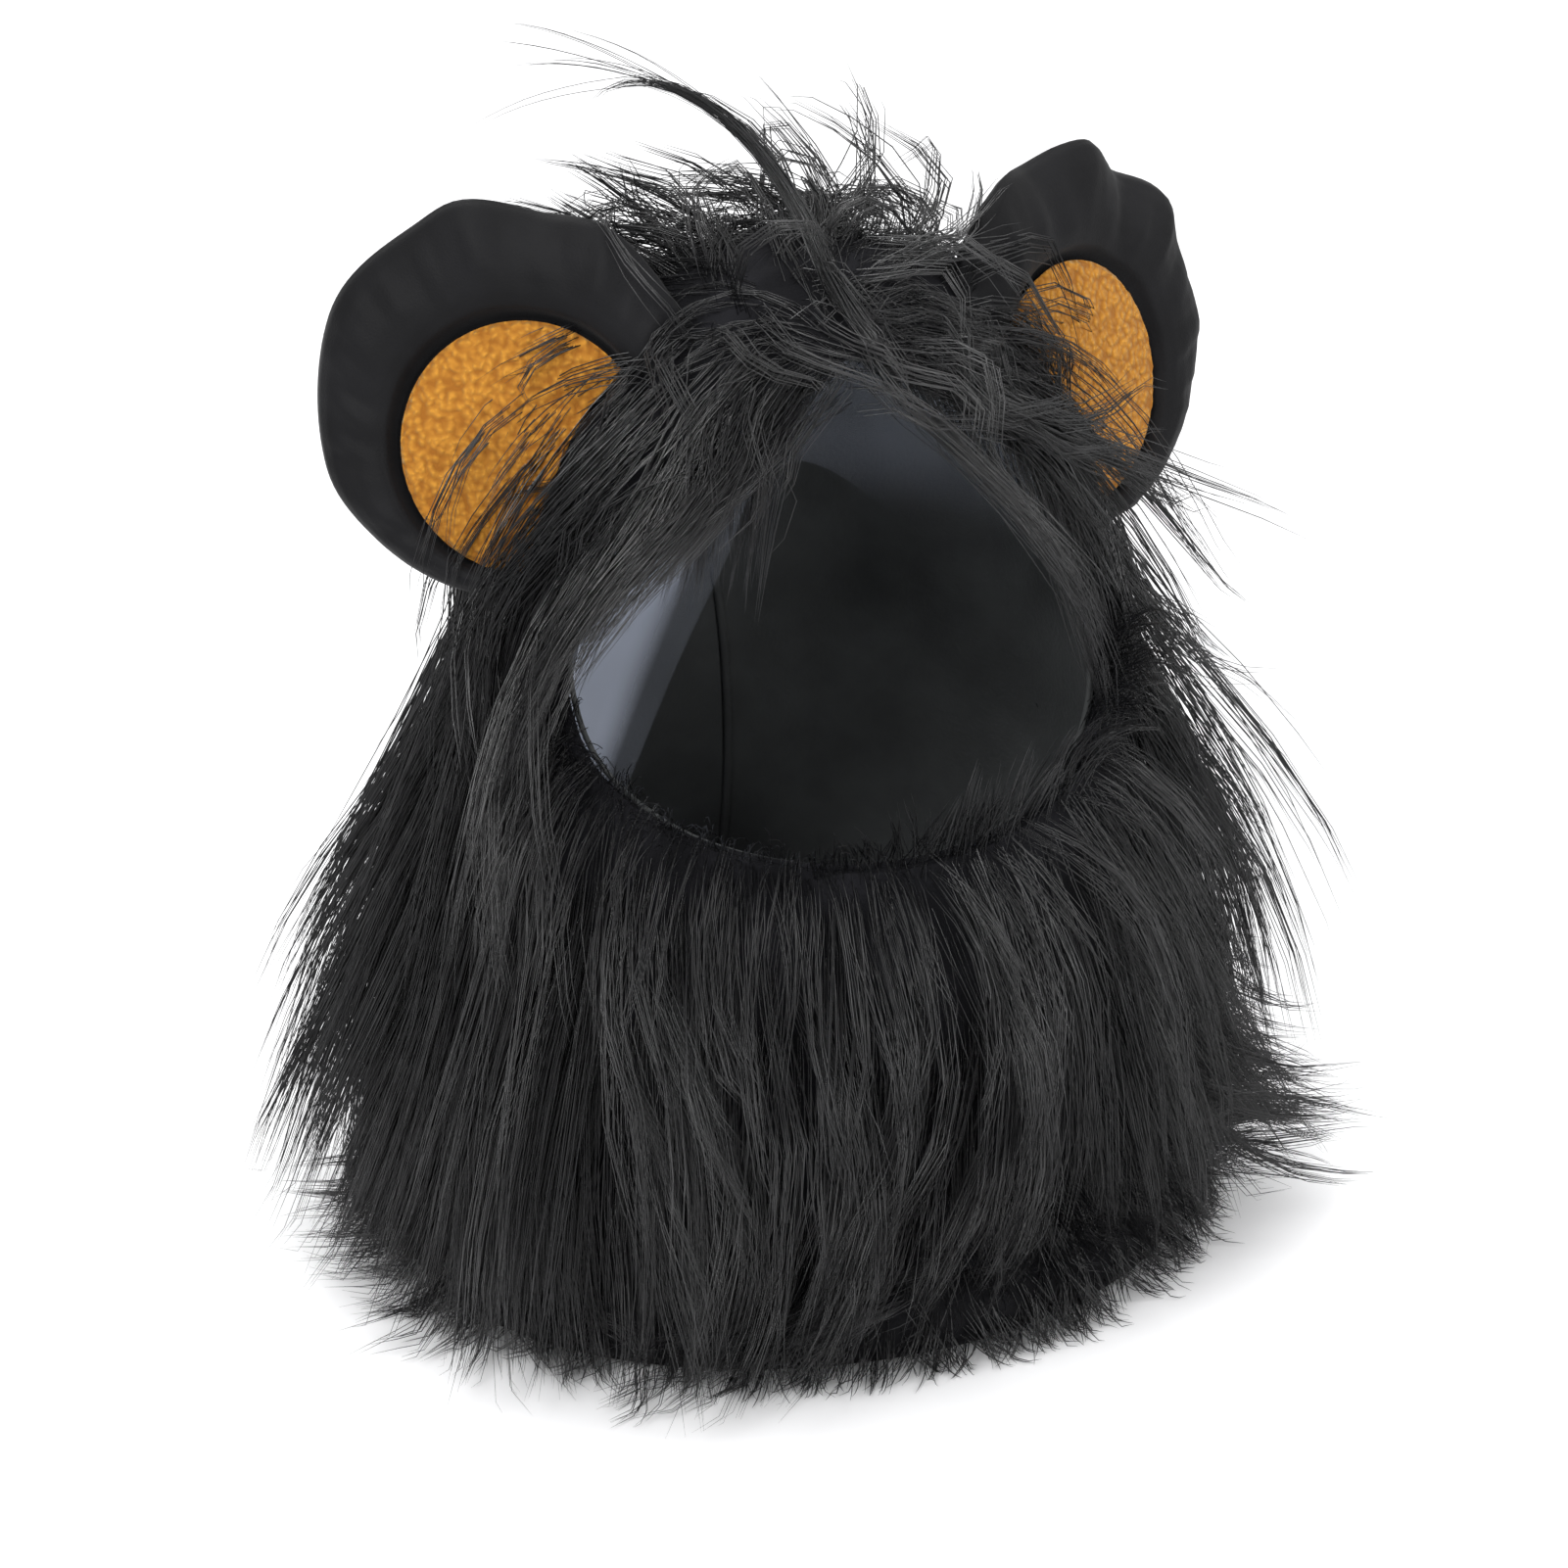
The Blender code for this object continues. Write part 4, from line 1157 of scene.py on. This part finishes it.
def flap_guides(groom, count):
    """Hair that hangs from the left side of the opening's top across the clear sheet."""
    draw = groom.draw
    guides = []
    for _ in range(count):
        height = draw.uniform(0.174, 0.1985)
        rise = float(rise_at(height))
        x = -face_half_width(height) - draw.uniform(0.0003, 0.003)
        angle = math.asin(max(-0.999, min(0.999, x / float(profile(rise)[1]))))
        root = Vector(off_cloth(angle, rise, 0.0008))
        way = Vector((draw.uniform(-0.85, -0.40), -0.25, -1.0)).normalized()
        length = max(0.014, (height - draw.uniform(0.150, 0.166)) * 1.12)
        points = [root]
        for k in range(5):
            bend = noise.noise_vector(points[-1] * 60) * 0.16
            way = (way + bend + Vector((0.02, 0.0, -0.10))).normalized()
            points.append(points[-1] + way * length / 5)
        guides.append((points, 9, 0.9, 0.55))
    return guides


def flick_guides(groom, count):
    """Curved tufts that turn out and up at the lower right."""
    draw = groom.draw
    guides = []
    for _ in range(count):
        angle = math.radians(draw.uniform(40, 122))
        rise = float(rise_at(draw.uniform(0.032, 0.076)))
        normal = Vector(cloth_normal(angle, rise))
        root = Vector(off_cloth(angle, rise, 0.0010))
        out = Vector((normal.x, normal.y, 0)).normalized()
        points = groom.grow(
            root,
            out * 0.5 + DOWN * 0.9,
            draw.uniform(0.045, 0.066),
            7,
            droop=0.10,
            layer=0.95,
            floor=draw.uniform(0.014, 0.026),
            curl=0.2,
            wave=0.15,
            bow=out * draw.uniform(0.35, 0.70) + Vector((0, 0, draw.uniform(0.05, 0.45))),
        )
        guides.append((points, 11, 1.0, 0.7))
    return guides


def hem_guides(groom, count):
    """Short curved locks over the rolled hem, closest together where the mane leaves it bare."""
    draw = groom.draw
    guides = []
    rise = float(rise_at(HEM_HEIGHT / 2))
    for i in range(count):
        bare = draw.random() < 0.72
        angle = math.radians(draw.uniform(-24, 118) if bare else draw.uniform(118, 336))
        out = Vector(cloth_normal(angle, rise))
        out = Vector((out.x, out.y, 0)).normalized()
        turn = draw.uniform(-0.75, 1.25)
        root = Vector(cloth_point(angle, rise)) + out * (0.0012 + 0.0082 * math.cos(turn))
        root.z = HEM_HEIGHT * (0.5 + 0.46 * math.sin(turn))
        aside = Vector((-out.y, out.x, 0)) * draw.uniform(-0.9, 0.7)
        way = out * (0.45 + 0.35 * math.cos(turn)) + DOWN * (0.25 + 0.5 * math.sin(turn)) + aside * 0.6
        way.normalize()
        length = draw.uniform(0.010, 0.015) + 0.004 * max(turn, 0)
        lift = draw.uniform(0.5, 1.5)
        points = [root]
        for k in range(1, 6):
            way = way + DOWN * 0.30 + Vector((0, 0, max(k / 5 - 0.45, 0) * lift)) + aside * 0.25
            way.normalize()
            point = points[-1] + way * (length / 5)
            point.z = max(point.z, 0.0010 + 0.002 * draw.random())
            points.append(point)
        guides.append((points, 7, 1.0, draw.uniform(0.8, 1.3)))
    return guides


# What a piece grows besides its patch, and how many guides of each kind
MORE_GUIDES = {
    "mane_bib": ((rim_guides, 330),),
    "mane_crown": ((brow_guides, 140), (whorl_guides, 70), (curtain_guides, 80), (flap_guides, 46)),
    "mane_right": ((flick_guides, 84),),
}
CREST_GUIDES = 250

# The forelock's bend, as shares of its length: up its lean, and to the side
FORELOCK_BEND = (
    (0.00, 0.00),
    (0.17, -0.03),
    (0.32, -0.09),
    (0.43, -0.16),
    (0.51, -0.25),
    (0.55, -0.34),
    (0.55, -0.43),
    (0.50, -0.50),
)
FORELOCK_LENGTH = 0.084
FORELOCK_RAKE = math.radians(34)


def forelock_guides(groom):
    """A twisted lock that stands up from the parting and lets a few curled hairs go at its end."""
    draw = groom.draw
    rise = float(rise_at(FACE_TOP + 0.0073))
    root = Vector(off_cloth(0, rise, 0.003))
    lean = Vector((0, math.sin(FORELOCK_RAKE), math.cos(FORELOCK_RAKE)))
    bend = np.array(FORELOCK_BEND)
    share = np.linspace(0, 1, 16)
    at = np.linspace(0, 1, len(bend))
    up, aside = np.interp(share, at, bend[:, 0]), np.interp(share, at, bend[:, 1])
    spine = [root + (lean * u + Vector((1, 0, 0)) * a) * FORELOCK_LENGTH for u, a in zip(up, aside)]
    spine = [PARTING + Vector((0.003, 0.000, -0.001)), PARTING + Vector((0.0015, -0.001, 0.003))] + spine
    guides = []
    for k in range(16):
        turn = 2 * math.pi * k / 16
        reach = draw.uniform(0.72, 1.0)
        points = []
        for i in range(13):
            place = i / 12 * reach * (len(spine) - 1)
            j = min(int(place), len(spine) - 2)
            middle = spine[j].lerp(spine[j + 1], place - j)
            run = (spine[j + 1] - spine[j]).normalized()
            across = run.cross(Vector((0.3, 1, 0.1))).normalized()
            other = run.cross(across)
            twist = turn + 2.2 * i / 12
            radius = 0.0012 * (1 - 0.70 * i / 12)
            points.append(middle + (across * math.cos(twist) + other * math.sin(twist)) * radius)
        guides.append((points, 7, 0.9, 0.30))
    for _ in range(9):
        j = int(draw.uniform(0.45, 0.85) * (len(spine) - 2))
        way = (spine[j + 1] - spine[j]).normalized()
        side = Vector((draw.uniform(-0.5, 0.3), draw.uniform(-0.5, 0.5), draw.uniform(-0.2, 0.5)))
        points = [spine[j]]
        for i in range(10):
            way = (way + side * 0.10 + DOWN * 0.13 * i / 10 + Vector((-0.05, 0, 0))).normalized()
            points.append(points[-1] + way * 0.0042)
        guides.append((points, 2, 0.6, 0.4))
    return guides


# Settings


def colour_setting(name, description, default):
    return FloatVectorProperty(name=name, description=description, default=default, subtype="COLOR")


def length_setting(name, description, default, low, high):
    return FloatProperty(
        name=name, description=description, default=default, min=low, max=high, unit="LENGTH"
    )


def share_setting(name, description, default, low, high):
    return FloatProperty(
        name=name, description=description, default=default, min=low, max=high, subtype="FACTOR"
    )


def angle_setting(name, description, degrees):
    return FloatProperty(name=name, description=description, default=math.radians(degrees), subtype="ANGLE")


class HairSettings(bpy.types.PropertyGroup):
    fullness: share_setting("Fullness", "Share of the locks that are grown", 1.0, 0.05, 2.0)
    thickness: length_setting("Strand radius", "Radius of one strand", 0.00013, 0.00002, 0.001)
    frizz: length_setting("Frizz", "How far a strand waves off its lock", 0.0007, 0.0, 0.01)
    dark: colour_setting("Dark strands", "Colour of the darkest strands", (0.0020, 0.0020, 0.0024))
    light: colour_setting("Light strands", "Colour of the lightest strands", (0.0085, 0.0085, 0.0096))
    seed: IntProperty(name="Seed", description="Another fall of the same hair", default=7, min=0)


class ClothSettings(bpy.types.PropertyGroup):
    fold: length_setting("Lining fold", "Depth of the lining's folds", 0.0045, 0.0, 0.01)
    velour: colour_setting("Velour", "Colour of the ears' cloth", (0.0058, 0.0058, 0.0068))
    lining: colour_setting("Lining", "Colour of the lining", (0.038, 0.040, 0.0405))
    fleece: colour_setting("Fleece", "Colour of the inner ears", (0.46, 0.205, 0.026))
    film: colour_setting("Clear sheet", "Tint of the clear sheet", (0.70, 0.76, 0.90))
    film_haze_and_painted_light: share_setting("Sheet haze", "How much the clear sheet hides", 0.30, 0.0, 1.0)


class StageSettings(bpy.types.PropertyGroup):
    azimuth: angle_setting("Azimuth", "Camera's turn round the wig", -20)
    elevation: angle_setting("Elevation", "Camera's height over the wig", 23)
    distance: length_setting("Distance", "From the camera to the wig's middle", 1.0, 0.2, 10.0)
    width: length_setting("View width", "Width of the view at the wig", 0.3215, 0.05, 5.0)
    floor: colour_setting("Floor", "Colour of the floor", (0.86, 0.86, 0.87))


class WigSettings(bpy.types.PropertyGroup):
    hair: PointerProperty(type=HairSettings, name="Hair", description="The mane's strands")
    cloth: PointerProperty(type=ClothSettings, name="Cloth", description="Ears, lining and clear sheet")
    stage: PointerProperty(type=StageSettings, name="Stage", description="Camera, light and floor")


SHARED = {}


def shared(name, make):
    """A tree, group or material that is made once."""
    if name not in SHARED:
        SHARED[name] = make()
    return SHARED[name]


def nap():
    return shared("nap", nap_group)


def hair_finish(settings):
    return shared("black_fur", lambda: hair_material("black_fur_strands", settings.dark, settings.light))


def hood_sheet():
    """Works out the hood's length from hem to crown and a ring round its widest part, and does nothing more
    with them.
    """
    table = profile(RISE_TABLE)
    length = float(np.linalg.norm(np.diff(table[:, :2], axis=0), axis=1).sum())
    widest = RISE_TABLE[int(np.argmax(table[:, 1]))]
    round_hood = cloth_point(np.linspace(0, 2 * math.pi, 97), np.full(97, widest))


# Operators


class WIG_OT_hood(bpy.types.Operator):
    """Knitted ground cloth of the hood"""

    bl_idname = "wig.hood"
    bl_label = "Hood cloth"

    def execute(self, context):
        dark, light = (0.004, 0.004, 0.005), (0.010, 0.010, 0.012)
        knit = cloth_material("black_knit", dark, light, 0.9, nap(), 1400, 80, 0.5)
        angles = np.linspace(0, 2 * math.pi, 96, endpoint=False)
        rises = np.linspace(float(rise_at(HEM_HEIGHT + LAYER_GAP)), 1, 48)
        piece = wall("hood_cloth", angles, rises, 0.0, -SHELL_WALL, True, knit)
        cut(piece, face_cutter())
        piece.data.shade_smooth()
        piece.data.set_sharp_from_angle(angle=math.radians(50))
        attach(piece, "root")
        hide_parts("hood_shell")
        hood_sheet()

        def tufted(angle, rise):
            uneven = np.sin(angle * 23 + 40 * rise) * np.sin(angle * 31 - 55 * rise)
            return GROUND_OUT + 0.0005 * uneven

        under = wall("fur_ground", angles, rises, tufted, LAYER_GAP, True, knit)
        cut(under, face_cutter())
        under.data.shade_smooth()
        under.data.set_sharp_from_angle(angle=math.radians(50))
        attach(under, "root")
        hood_sheet()
        return {"FINISHED"}


GROUND_OUT = LAYER_GAP + GROUND_WALL


class WIG_OT_lining(bpy.types.Operator):
    """Matte lining with its seams and folds"""

    bl_idname = "wig.lining"
    bl_label = "Lining"

    def execute(self, context):
        settings = context.scene.wig.cloth
        dark = tuple(settings.lining)
        light = tuple(c * 1.5 for c in dark)
        cloth = cloth_material("black_lining", dark, light, 0.72, nap(), 1100, 45, 0.35, 0.03)
        deep = settings.fold

        def folded(angle, rise):
            """Gathers that run down from the top at the back."""
            turn = np.mod(angle, 2 * math.pi)
            height = profile(rise)[..., 0] / HOOD_TOP
            top = np.clip((height - 0.42) / 0.40, 0, 1)
            folds = 0.0
            for middle, width, share in LINING_FOLDS:
                lean = middle + 0.25 * (0.8 - height)
                folds = folds + share * np.exp(-(((turn - lean) / width) ** 2))
            slack = 0.25 * np.sin(turn * 5 + height * 9) * np.sin(height * 14 + turn * 2)
            return -deep * (top * folds + slack * 0.6 + 0.15)

        angles = np.linspace(0, 2 * math.pi, 132, endpoint=False)
        rises = np.linspace(float(rise_at(HEM_HEIGHT + LAYER_GAP)), 1, 44)
        piece = wall(
            "lining_cloth",
            angles,
            rises,
            lambda a, r: LINING_OUT + folded(a, r) * 0.9,
            lambda a, r: LINING_IN + folded(a, r),
            True,
            cloth,
        )
        cut(piece, face_cutter(0.001))
        edge = [inside_hood(p, SHELL_WALL + 0.0012) for p in face_outline(0.0006, 120)]
        points, faces = tube(edge, [0.0006] * len(edge), 8)
        faces = faces[:-2] + [
            (len(points) - 8 + k, len(points) - 8 + (k + 1) % 8, (k + 1) % 8, k) for k in range(8)
        ]
        welt = []
        for height in np.linspace(0.12, 0.80, 48):
            rise = rise_at(height * HOOD_TOP)
            angle = 3.27 - 0.20 * math.sin(math.pi * min(height / 0.8, 1))
            welt.append(Vector(off_cloth(angle, rise, LINING_IN + float(folded(angle, rise)) - 0.0003)))
        seam = tube(welt, [0.0011] * len(welt), 8)
        rim = joined("lining_rim", [(points, faces), seam], cloth)
        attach(rim, "root")
        piece.data.shade_smooth()
        piece.data.set_sharp_from_angle(angle=math.radians(60))
        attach(piece, "root")
        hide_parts("lining")
        hood_sheet()
        return {"FINISHED"}


class WIG_OT_clear_sheet(bpy.types.Operator):
    """Bent clear sheet that holds the hood open"""

    bl_idname = "wig.clear_sheet"
    bl_label = "Clear sheet"

    def execute(self, context):
        settings = context.scene.wig.cloth
        film = film_material("clear_film", tuple(settings.film), settings.film_haze_and_painted_light)
        start = math.radians(70)
        angles = np.linspace(start, 2 * math.pi - start, 120)
        rises = np.linspace(float(rise_at(0.022)), float(rise_at(0.955 * HOOD_TOP)), 60)

        def buckled(angle, rise):
            """Long soft buckles where the sheet is bent over the top."""
            height = profile(rise)[..., 0] / HOOD_TOP
            wave = np.sin(angle * 3.0 + height * 7.0) * 0.0007 + np.sin(angle * 7 - height * 11) * 0.0003
            return SHEET_OUT - 0.0032 - wave

        piece = wall(
            "clear_sheet_bent", angles, rises, buckled, lambda a, r: buckled(a, r) - 0.0004, False, film
        )
        window = smooth_outline([(x * HOOD_WIDTH, z * HOOD_TOP) for x, z in SHEET_WINDOW], 120)
        cut(piece, prism("sheet_window", window, HOOD_MIDDLE + 0.004, 0.2))
        piece.data.shade_smooth()
        piece.data.set_sharp_from_angle(angle=math.radians(50))
        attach(piece, "root")
        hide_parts("clear_sheet")
        return {"FINISHED"}


def ear_axes(side):
    centre = Vector((side * EAR_SPREAD, EAR_SET_BACK + HOOD_MIDDLE, EAR_CENTRE_HEIGHT))
    outward = Vector((side * math.cos(EAR_TURN), math.sin(EAR_TURN), 0))
    level = Vector((side * math.sin(EAR_TURN), -math.cos(EAR_TURN), 0))
    forward = level * math.cos(EAR_LEAN) + Vector((0, 0, 1)) * math.sin(EAR_LEAN)
    upward = Vector((0, 0, 1)) * math.cos(EAR_LEAN) - level * math.sin(EAR_LEAN)
    return centre, outward, upward, forward


def gathers(turn, folds, column):
    total = 0.0
    for fold in folds:
        away = (math.degrees(turn) - fold[0] + 180) % 360 - 180
        total += fold[column] * math.exp(-((away / fold[3]) ** 2))
    return total


def ear_point(side, turn, out, forward_share, dished, folds):
    """A point of the ear: out is 0 at the inner ear's middle, 1 at its edge and 2 at the ear's edge."""
    centre, outward, upward, forward = ear_axes(side)
    direction = outward * math.sin(turn) * side + upward * math.cos(turn)
    middle = centre - outward * INNER_EAR_INWARD - upward * INNER_EAR_DROP
    edge = centre + direction * EAR_RADIUS * (1 + gathers(turn, folds, 1))
    inner = middle + direction * INNER_EAR_RADIUS
    point = middle + (inner - middle) * out if out <= 1 else inner + (edge - inner) * (out - 1)
    ripple = gathers(turn, folds, 2) * EAR_THICKNESS * max(0.0, out - 1)
    return point + forward * (forward_share * EAR_THICKNESS / 2 + ripple - dished * EAR_DISH), forward


def ear_seat():
    """The furred hood as a solid, for cutting away what would lie inside it."""
    at_angle, at_rise = np.meshgrid(np.linspace(0, 2 * math.pi, 72, endpoint=False), np.linspace(0, 1, 40))
    points = off_cloth(at_angle, at_rise, np.full(at_angle.shape, GROUND_OUT + 0.0006))
    points[-1] = points[-1].mean(axis=0)
    faces = grid_faces(40, 72, True) + [tuple(range(71, -1, -1))]
    seat = mesh_object("ear_seat", points.reshape(-1, 3), faces)
    tidy(seat)
    return seat


class WIG_OT_ears(bpy.types.Operator):
    """Padded velour ears with gathered edges"""

    bl_idname = "wig.ears"
    bl_label = "Ears"

    def execute(self, context):
        colour = tuple(context.scene.wig.cloth.velour)
        dark = tuple(c * 0.55 for c in colour)
        velour = cloth_material("black_velour", dark, colour, 0.62, nap(), 2400, 55, 0.22, 0.045)
        for side, word in ((-1, "left"), (1, "right")):
            folds = EAR_FOLDS[word]
            count = 128
            rings = []
            steps = np.linspace(0, len(EAR_SECTIONS) - 1, 52)
            table = np.array(EAR_SECTIONS)
            for place in steps:
                j = min(int(place), len(EAR_SECTIONS) - 2)
                out, forward_share, dished = table[j] + (table[j + 1] - table[j]) * (place - j)
                ring = []
                for k in range(count):
                    turn = 2 * math.pi * k / count
                    point, forward = ear_point(side, turn, out, forward_share, dished, folds)
                    if out > 1.05:
                        pull = min(1.0, (out - 1.05) * 2.2) * min(1.0, (2.05 - out) * 3)
                        c, s = math.cos(turn), math.sin(turn)
                        crease = noise.noise(Vector((c * 7, s * 7, out * 1.1 + side * 5)))
                        fine = noise.noise(Vector((c * 21, s * 21, out * 1.5 + side)))
                        facing = math.copysign(1, forward_share + 0.01)
                        point = point + forward * (crease * 0.0013 + fine * 0.0004) * pull * facing
                    ring.append(point)
                rings.append(ring)
            piece = mesh_object(
                "ear_" + word + "_velour",
                [p for ring in rings for p in ring],
                grid_faces(len(rings), count, True),
                velour,
            )
            tidy(piece)
            cut(piece, ear_seat())
            piece.data.shade_smooth()
            piece.data.set_sharp_from_angle(angle=math.radians(60))
            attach(piece, "root")
            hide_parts("ear_" + word)
        return {"FINISHED"}


class WIG_OT_inner_ears(bpy.types.Operator):
    """Orange fleece discs in the ears"""

    bl_idname = "wig.inner_ears"
    bl_label = "Inner ears"

    def execute(self, context):
        colour = tuple(context.scene.wig.cloth.fleece)
        # the darker colour is the painted shade in the gaps between the crumbs
        dark = (colour[0] * 0.50, colour[1] * 0.40, colour[2] * 0.35)
        fleece = fleece_material("orange_fleece", dark, colour, nap())
        sections = (
            (0.00, 0.0005),
            (0.90, 0.0005),
            (0.965, 0.0008),
            (0.985, 0.0016),
            (0.95, 0.0023),
            (0.88, 0.0026),
            (0.50, 0.0031),
            (0.00, 0.0033),
        )
        for side, word in ((-1, "left"), (1, "right")):
            count = 128
            rings = []
            table = np.array(sections)
            for place in np.linspace(0, len(sections) - 1, 46):
                j = min(int(place), len(sections) - 2)
                out, lift = table[j] + (table[j + 1] - table[j]) * (place - j)
                ring = []
                for k in range(count):
                    point, forward = ear_point(side, 2 * math.pi * k / count, out, 1.0, 1.0, ())
                    crumb = noise.noise(point * 700) * 0.00035 + noise.noise(point * 1900) * 0.00020
                    ring.append(point + forward * (lift + (crumb if lift > 0.001 else 0)))
                rings.append(ring)
            piece = mesh_object(
                "inner_ear_" + word + "_fleece",
                [p for ring in rings for p in ring],
                grid_faces(len(rings), count, True),
                fleece,
            )
            tidy(piece)
            cut(piece, ear_seat())
            piece.data.shade_smooth()
            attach(piece, "root")
            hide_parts("inner_ear_" + word)
        return {"FINISHED"}


class WIG_OT_hem(bpy.types.Operator):
    """Rolled fur hem with its short curved hair"""

    bl_idname = "wig.hem"
    bl_label = "Neck hem"

    def execute(self, context):
        settings = context.scene.wig.hair
        dark, light = (0.003, 0.003, 0.004), (0.009, 0.009, 0.010)
        knit = cloth_material("hem_underwool", dark, light, 0.85, nap(), 900, 90, 0.6)
        count, sides = 144, 20
        rise = float(rise_at(HEM_HEIGHT / 2))
        rings = []
        for i in range(count):
            angle = 2 * math.pi * i / count
            out = Vector(cloth_normal(angle, rise))
            out.z = 0
            out.normalize()
            middle = Vector(cloth_point(angle, rise)) + out * 0.0009
            middle.z = HEM_HEIGHT / 2
            pinch = 1 + 0.05 * math.sin(angle * 9) + 0.04 * math.sin(angle * 17 + 1)
            ring = []
            for k in range(sides):
                turn = 2 * math.pi * k / sides
                x, z = math.cos(turn), math.sin(turn)
                swell = 1 + z * (pinch if z > 0 else 1.0)
                high = max(0.0002 if z < -0.8 else 0.0, HEM_HEIGHT / 2 * swell - 0.0004)
                point = middle + out * x * 0.0088
                point.z = min(high, HEM_HEIGHT)
                ring.append(point)
            rings.append(ring)
        faces = grid_faces(count, sides, True)
        last = (count - 1) * sides
        faces += [(last + k, last + (k + 1) % sides, (k + 1) % sides, k) for k in range(sides)]
        roll = mesh_object("hem_roll", [p for ring in rings for p in ring], faces, knit)
        tidy(roll)
        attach(roll, "root")
        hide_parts("neck_hem")
        groom = Groom(settings.seed + 90)
        guides = hem_guides(groom, int(330 * settings.fullness))
        piece = hair_piece(
            "hem_locks",
            guides,
            shared("strands", strand_tree),
            hair_finish(settings),
            thickness=settings.thickness,
            root_spread=0.0024,
            tip_spread=0.0016,
            flyaway=0.003,
            frizz=settings.frizz,
        )
        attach(piece, "root")
        return {"FINISHED"}


class WIG_OT_mane(bpy.types.Operator):
    """Long hair of the crown, sides, back and bib"""

    bl_idname = "wig.mane"
    bl_label = "Mane"

    def execute(self, context):
        settings = context.scene.wig.hair
        tree = shared("strands", strand_tree)
        finish = hair_finish(settings)
        for i, (name, patch) in enumerate(PATCHES.items()):
            groom = Groom(settings.seed + i)
            guides = patch_guides(groom, patch._replace(locks=int(patch.locks * settings.fullness)))
            for make, count in MORE_GUIDES.get(name, ()):
                guides += make(groom, int(count * settings.fullness))
            pieces = {name + "_hair": guides}
            if name == "mane_crown":
                pieces["crown_crest_hair"] = crest_guides(groom, int(CREST_GUIDES * settings.fullness))
            for label, locks in pieces.items():
                piece = hair_piece(
                    label, locks, tree, finish, thickness=settings.thickness, frizz=settings.frizz
                )
                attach(piece, "root")
                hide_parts(name)
        return {"FINISHED"}


class WIG_OT_forelock(bpy.types.Operator):
    """Twisted lock over the parting"""

    bl_idname = "wig.forelock"
    bl_label = "Forelock"

    def execute(self, context):
        settings = context.scene.wig.hair
        piece = hair_piece(
            "forelock_hair", forelock_guides(Groom(settings.seed + 50)), shared("strands", strand_tree),
            hair_finish(settings), thickness=settings.thickness, frizz=0.0003, flyaway=0.006, shortest=0.8,
        )
        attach(piece, "root")
        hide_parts("forelock")
        return {"FINISHED"}


class WIG_OT_stage(bpy.types.Operator):
    """Camera, floor and soft light"""

    bl_idname = "wig.stage"
    bl_label = "Stage"

    def execute(self, context):
        scene = context.scene
        settings = scene.wig.stage
        floor = mesh_object(
            "floor",
            [(-6, -6, 0), (6, -6, 0), (6, 6, 0), (-6, 6, 0)],
            [(0, 1, 2, 3)],
            plain_stage_material("pale_floor", tuple(settings.floor)),
        )
        world = bpy.data.worlds.new("studio")
        world.use_nodes = True
        sky = world.node_tree.nodes["Background"]
        sky.inputs["Color"].default_value = (1.0, 1.0, 1.0, 1)
        sky.inputs["Strength"].default_value = 0.50
        scene.world = world
        middle = (0, 0, 0.11)
        for label, place, aim, size, power in (
            ("soft_left", (-0.75, -0.75, 0.95), middle, 0.6, 16),
            ("soft_right", (0.9, -0.35, 0.8), middle, 0.5, 5),
            ("soft_top", (0.0, 0.15, 1.2), middle, 0.8, 8),
            ("soft_front", (0.25, -1.3, 0.5), middle, 0.5, 6),
            ("soft_floor", (0.0, 1.9, 1.2), (0, 2.2, 0), 1.2, 30),
        ):
            light = bpy.data.lights.new(label, "AREA")
            light.shape = "SQUARE"
            light.size = size
            light.energy = power
            lamp = bpy.data.objects.new(label, light)
            lamp.location = place
            lamp.rotation_euler = (Vector(aim) - Vector(place)).to_track_quat("-Z", "Y").to_euler()
            scene.collection.objects.link(lamp)
        target = Vector((-0.0033, 0, 0.0998))
        az, el = settings.azimuth, settings.elevation
        back = Vector((math.sin(az) * math.cos(el), -math.cos(az) * math.cos(el), math.sin(el)))
        camera = bpy.data.cameras.new("camera")
        camera.sensor_width = 36
        camera.lens = 36 * settings.distance / settings.width
        camera.clip_start = 0.01
        eye = bpy.data.objects.new("camera", camera)
        eye.location = target + back * settings.distance
        eye.rotation_euler = (-back).to_track_quat("-Z", "Y").to_euler()
        scene.collection.objects.link(eye)
        scene.camera = eye
        scene.view_settings.view_transform = "Standard"
        return {"FINISHED"}


class WIG_PT_panel(bpy.types.Panel):
    """Pieces of the wig, in the order that they are made"""

    bl_idname = "WIG_PT_panel"
    bl_label = "Lion mane wig"
    bl_space_type = "VIEW_3D"
    bl_region_type = "UI"
    bl_category = "Wig"

    def draw(self, context):
        wig = context.scene.wig
        for settings in (wig.hair, wig.cloth, wig.stage):
            box = self.layout.box()
            for name in settings.bl_rna.properties.keys():
                if name not in ("rna_type", "name"):
                    box.prop(settings, name)
        for operator in OPERATORS:
            self.layout.operator(operator.bl_idname)


OPERATORS = (
    WIG_OT_hood,
    WIG_OT_lining,
    WIG_OT_clear_sheet,
    WIG_OT_ears,
    WIG_OT_inner_ears,
    WIG_OT_hem,
    WIG_OT_mane,
    WIG_OT_forelock,
    WIG_OT_stage,
)
CLASSES = (HairSettings, ClothSettings, StageSettings, WigSettings, *OPERATORS, WIG_PT_panel)


def register():
    for item in CLASSES:
        bpy.utils.register_class(item)
    bpy.types.Scene.wig = PointerProperty(type=WigSettings)


def unregister():
    del bpy.types.Scene.wig
    for item in reversed(CLASSES):
        bpy.utils.unregister_class(item)


def main():
    register()
    for operator in OPERATORS:
        getattr(bpy.ops.wig, operator.bl_idname.split(".")[1])()


if __name__ == "__main__":
    main()
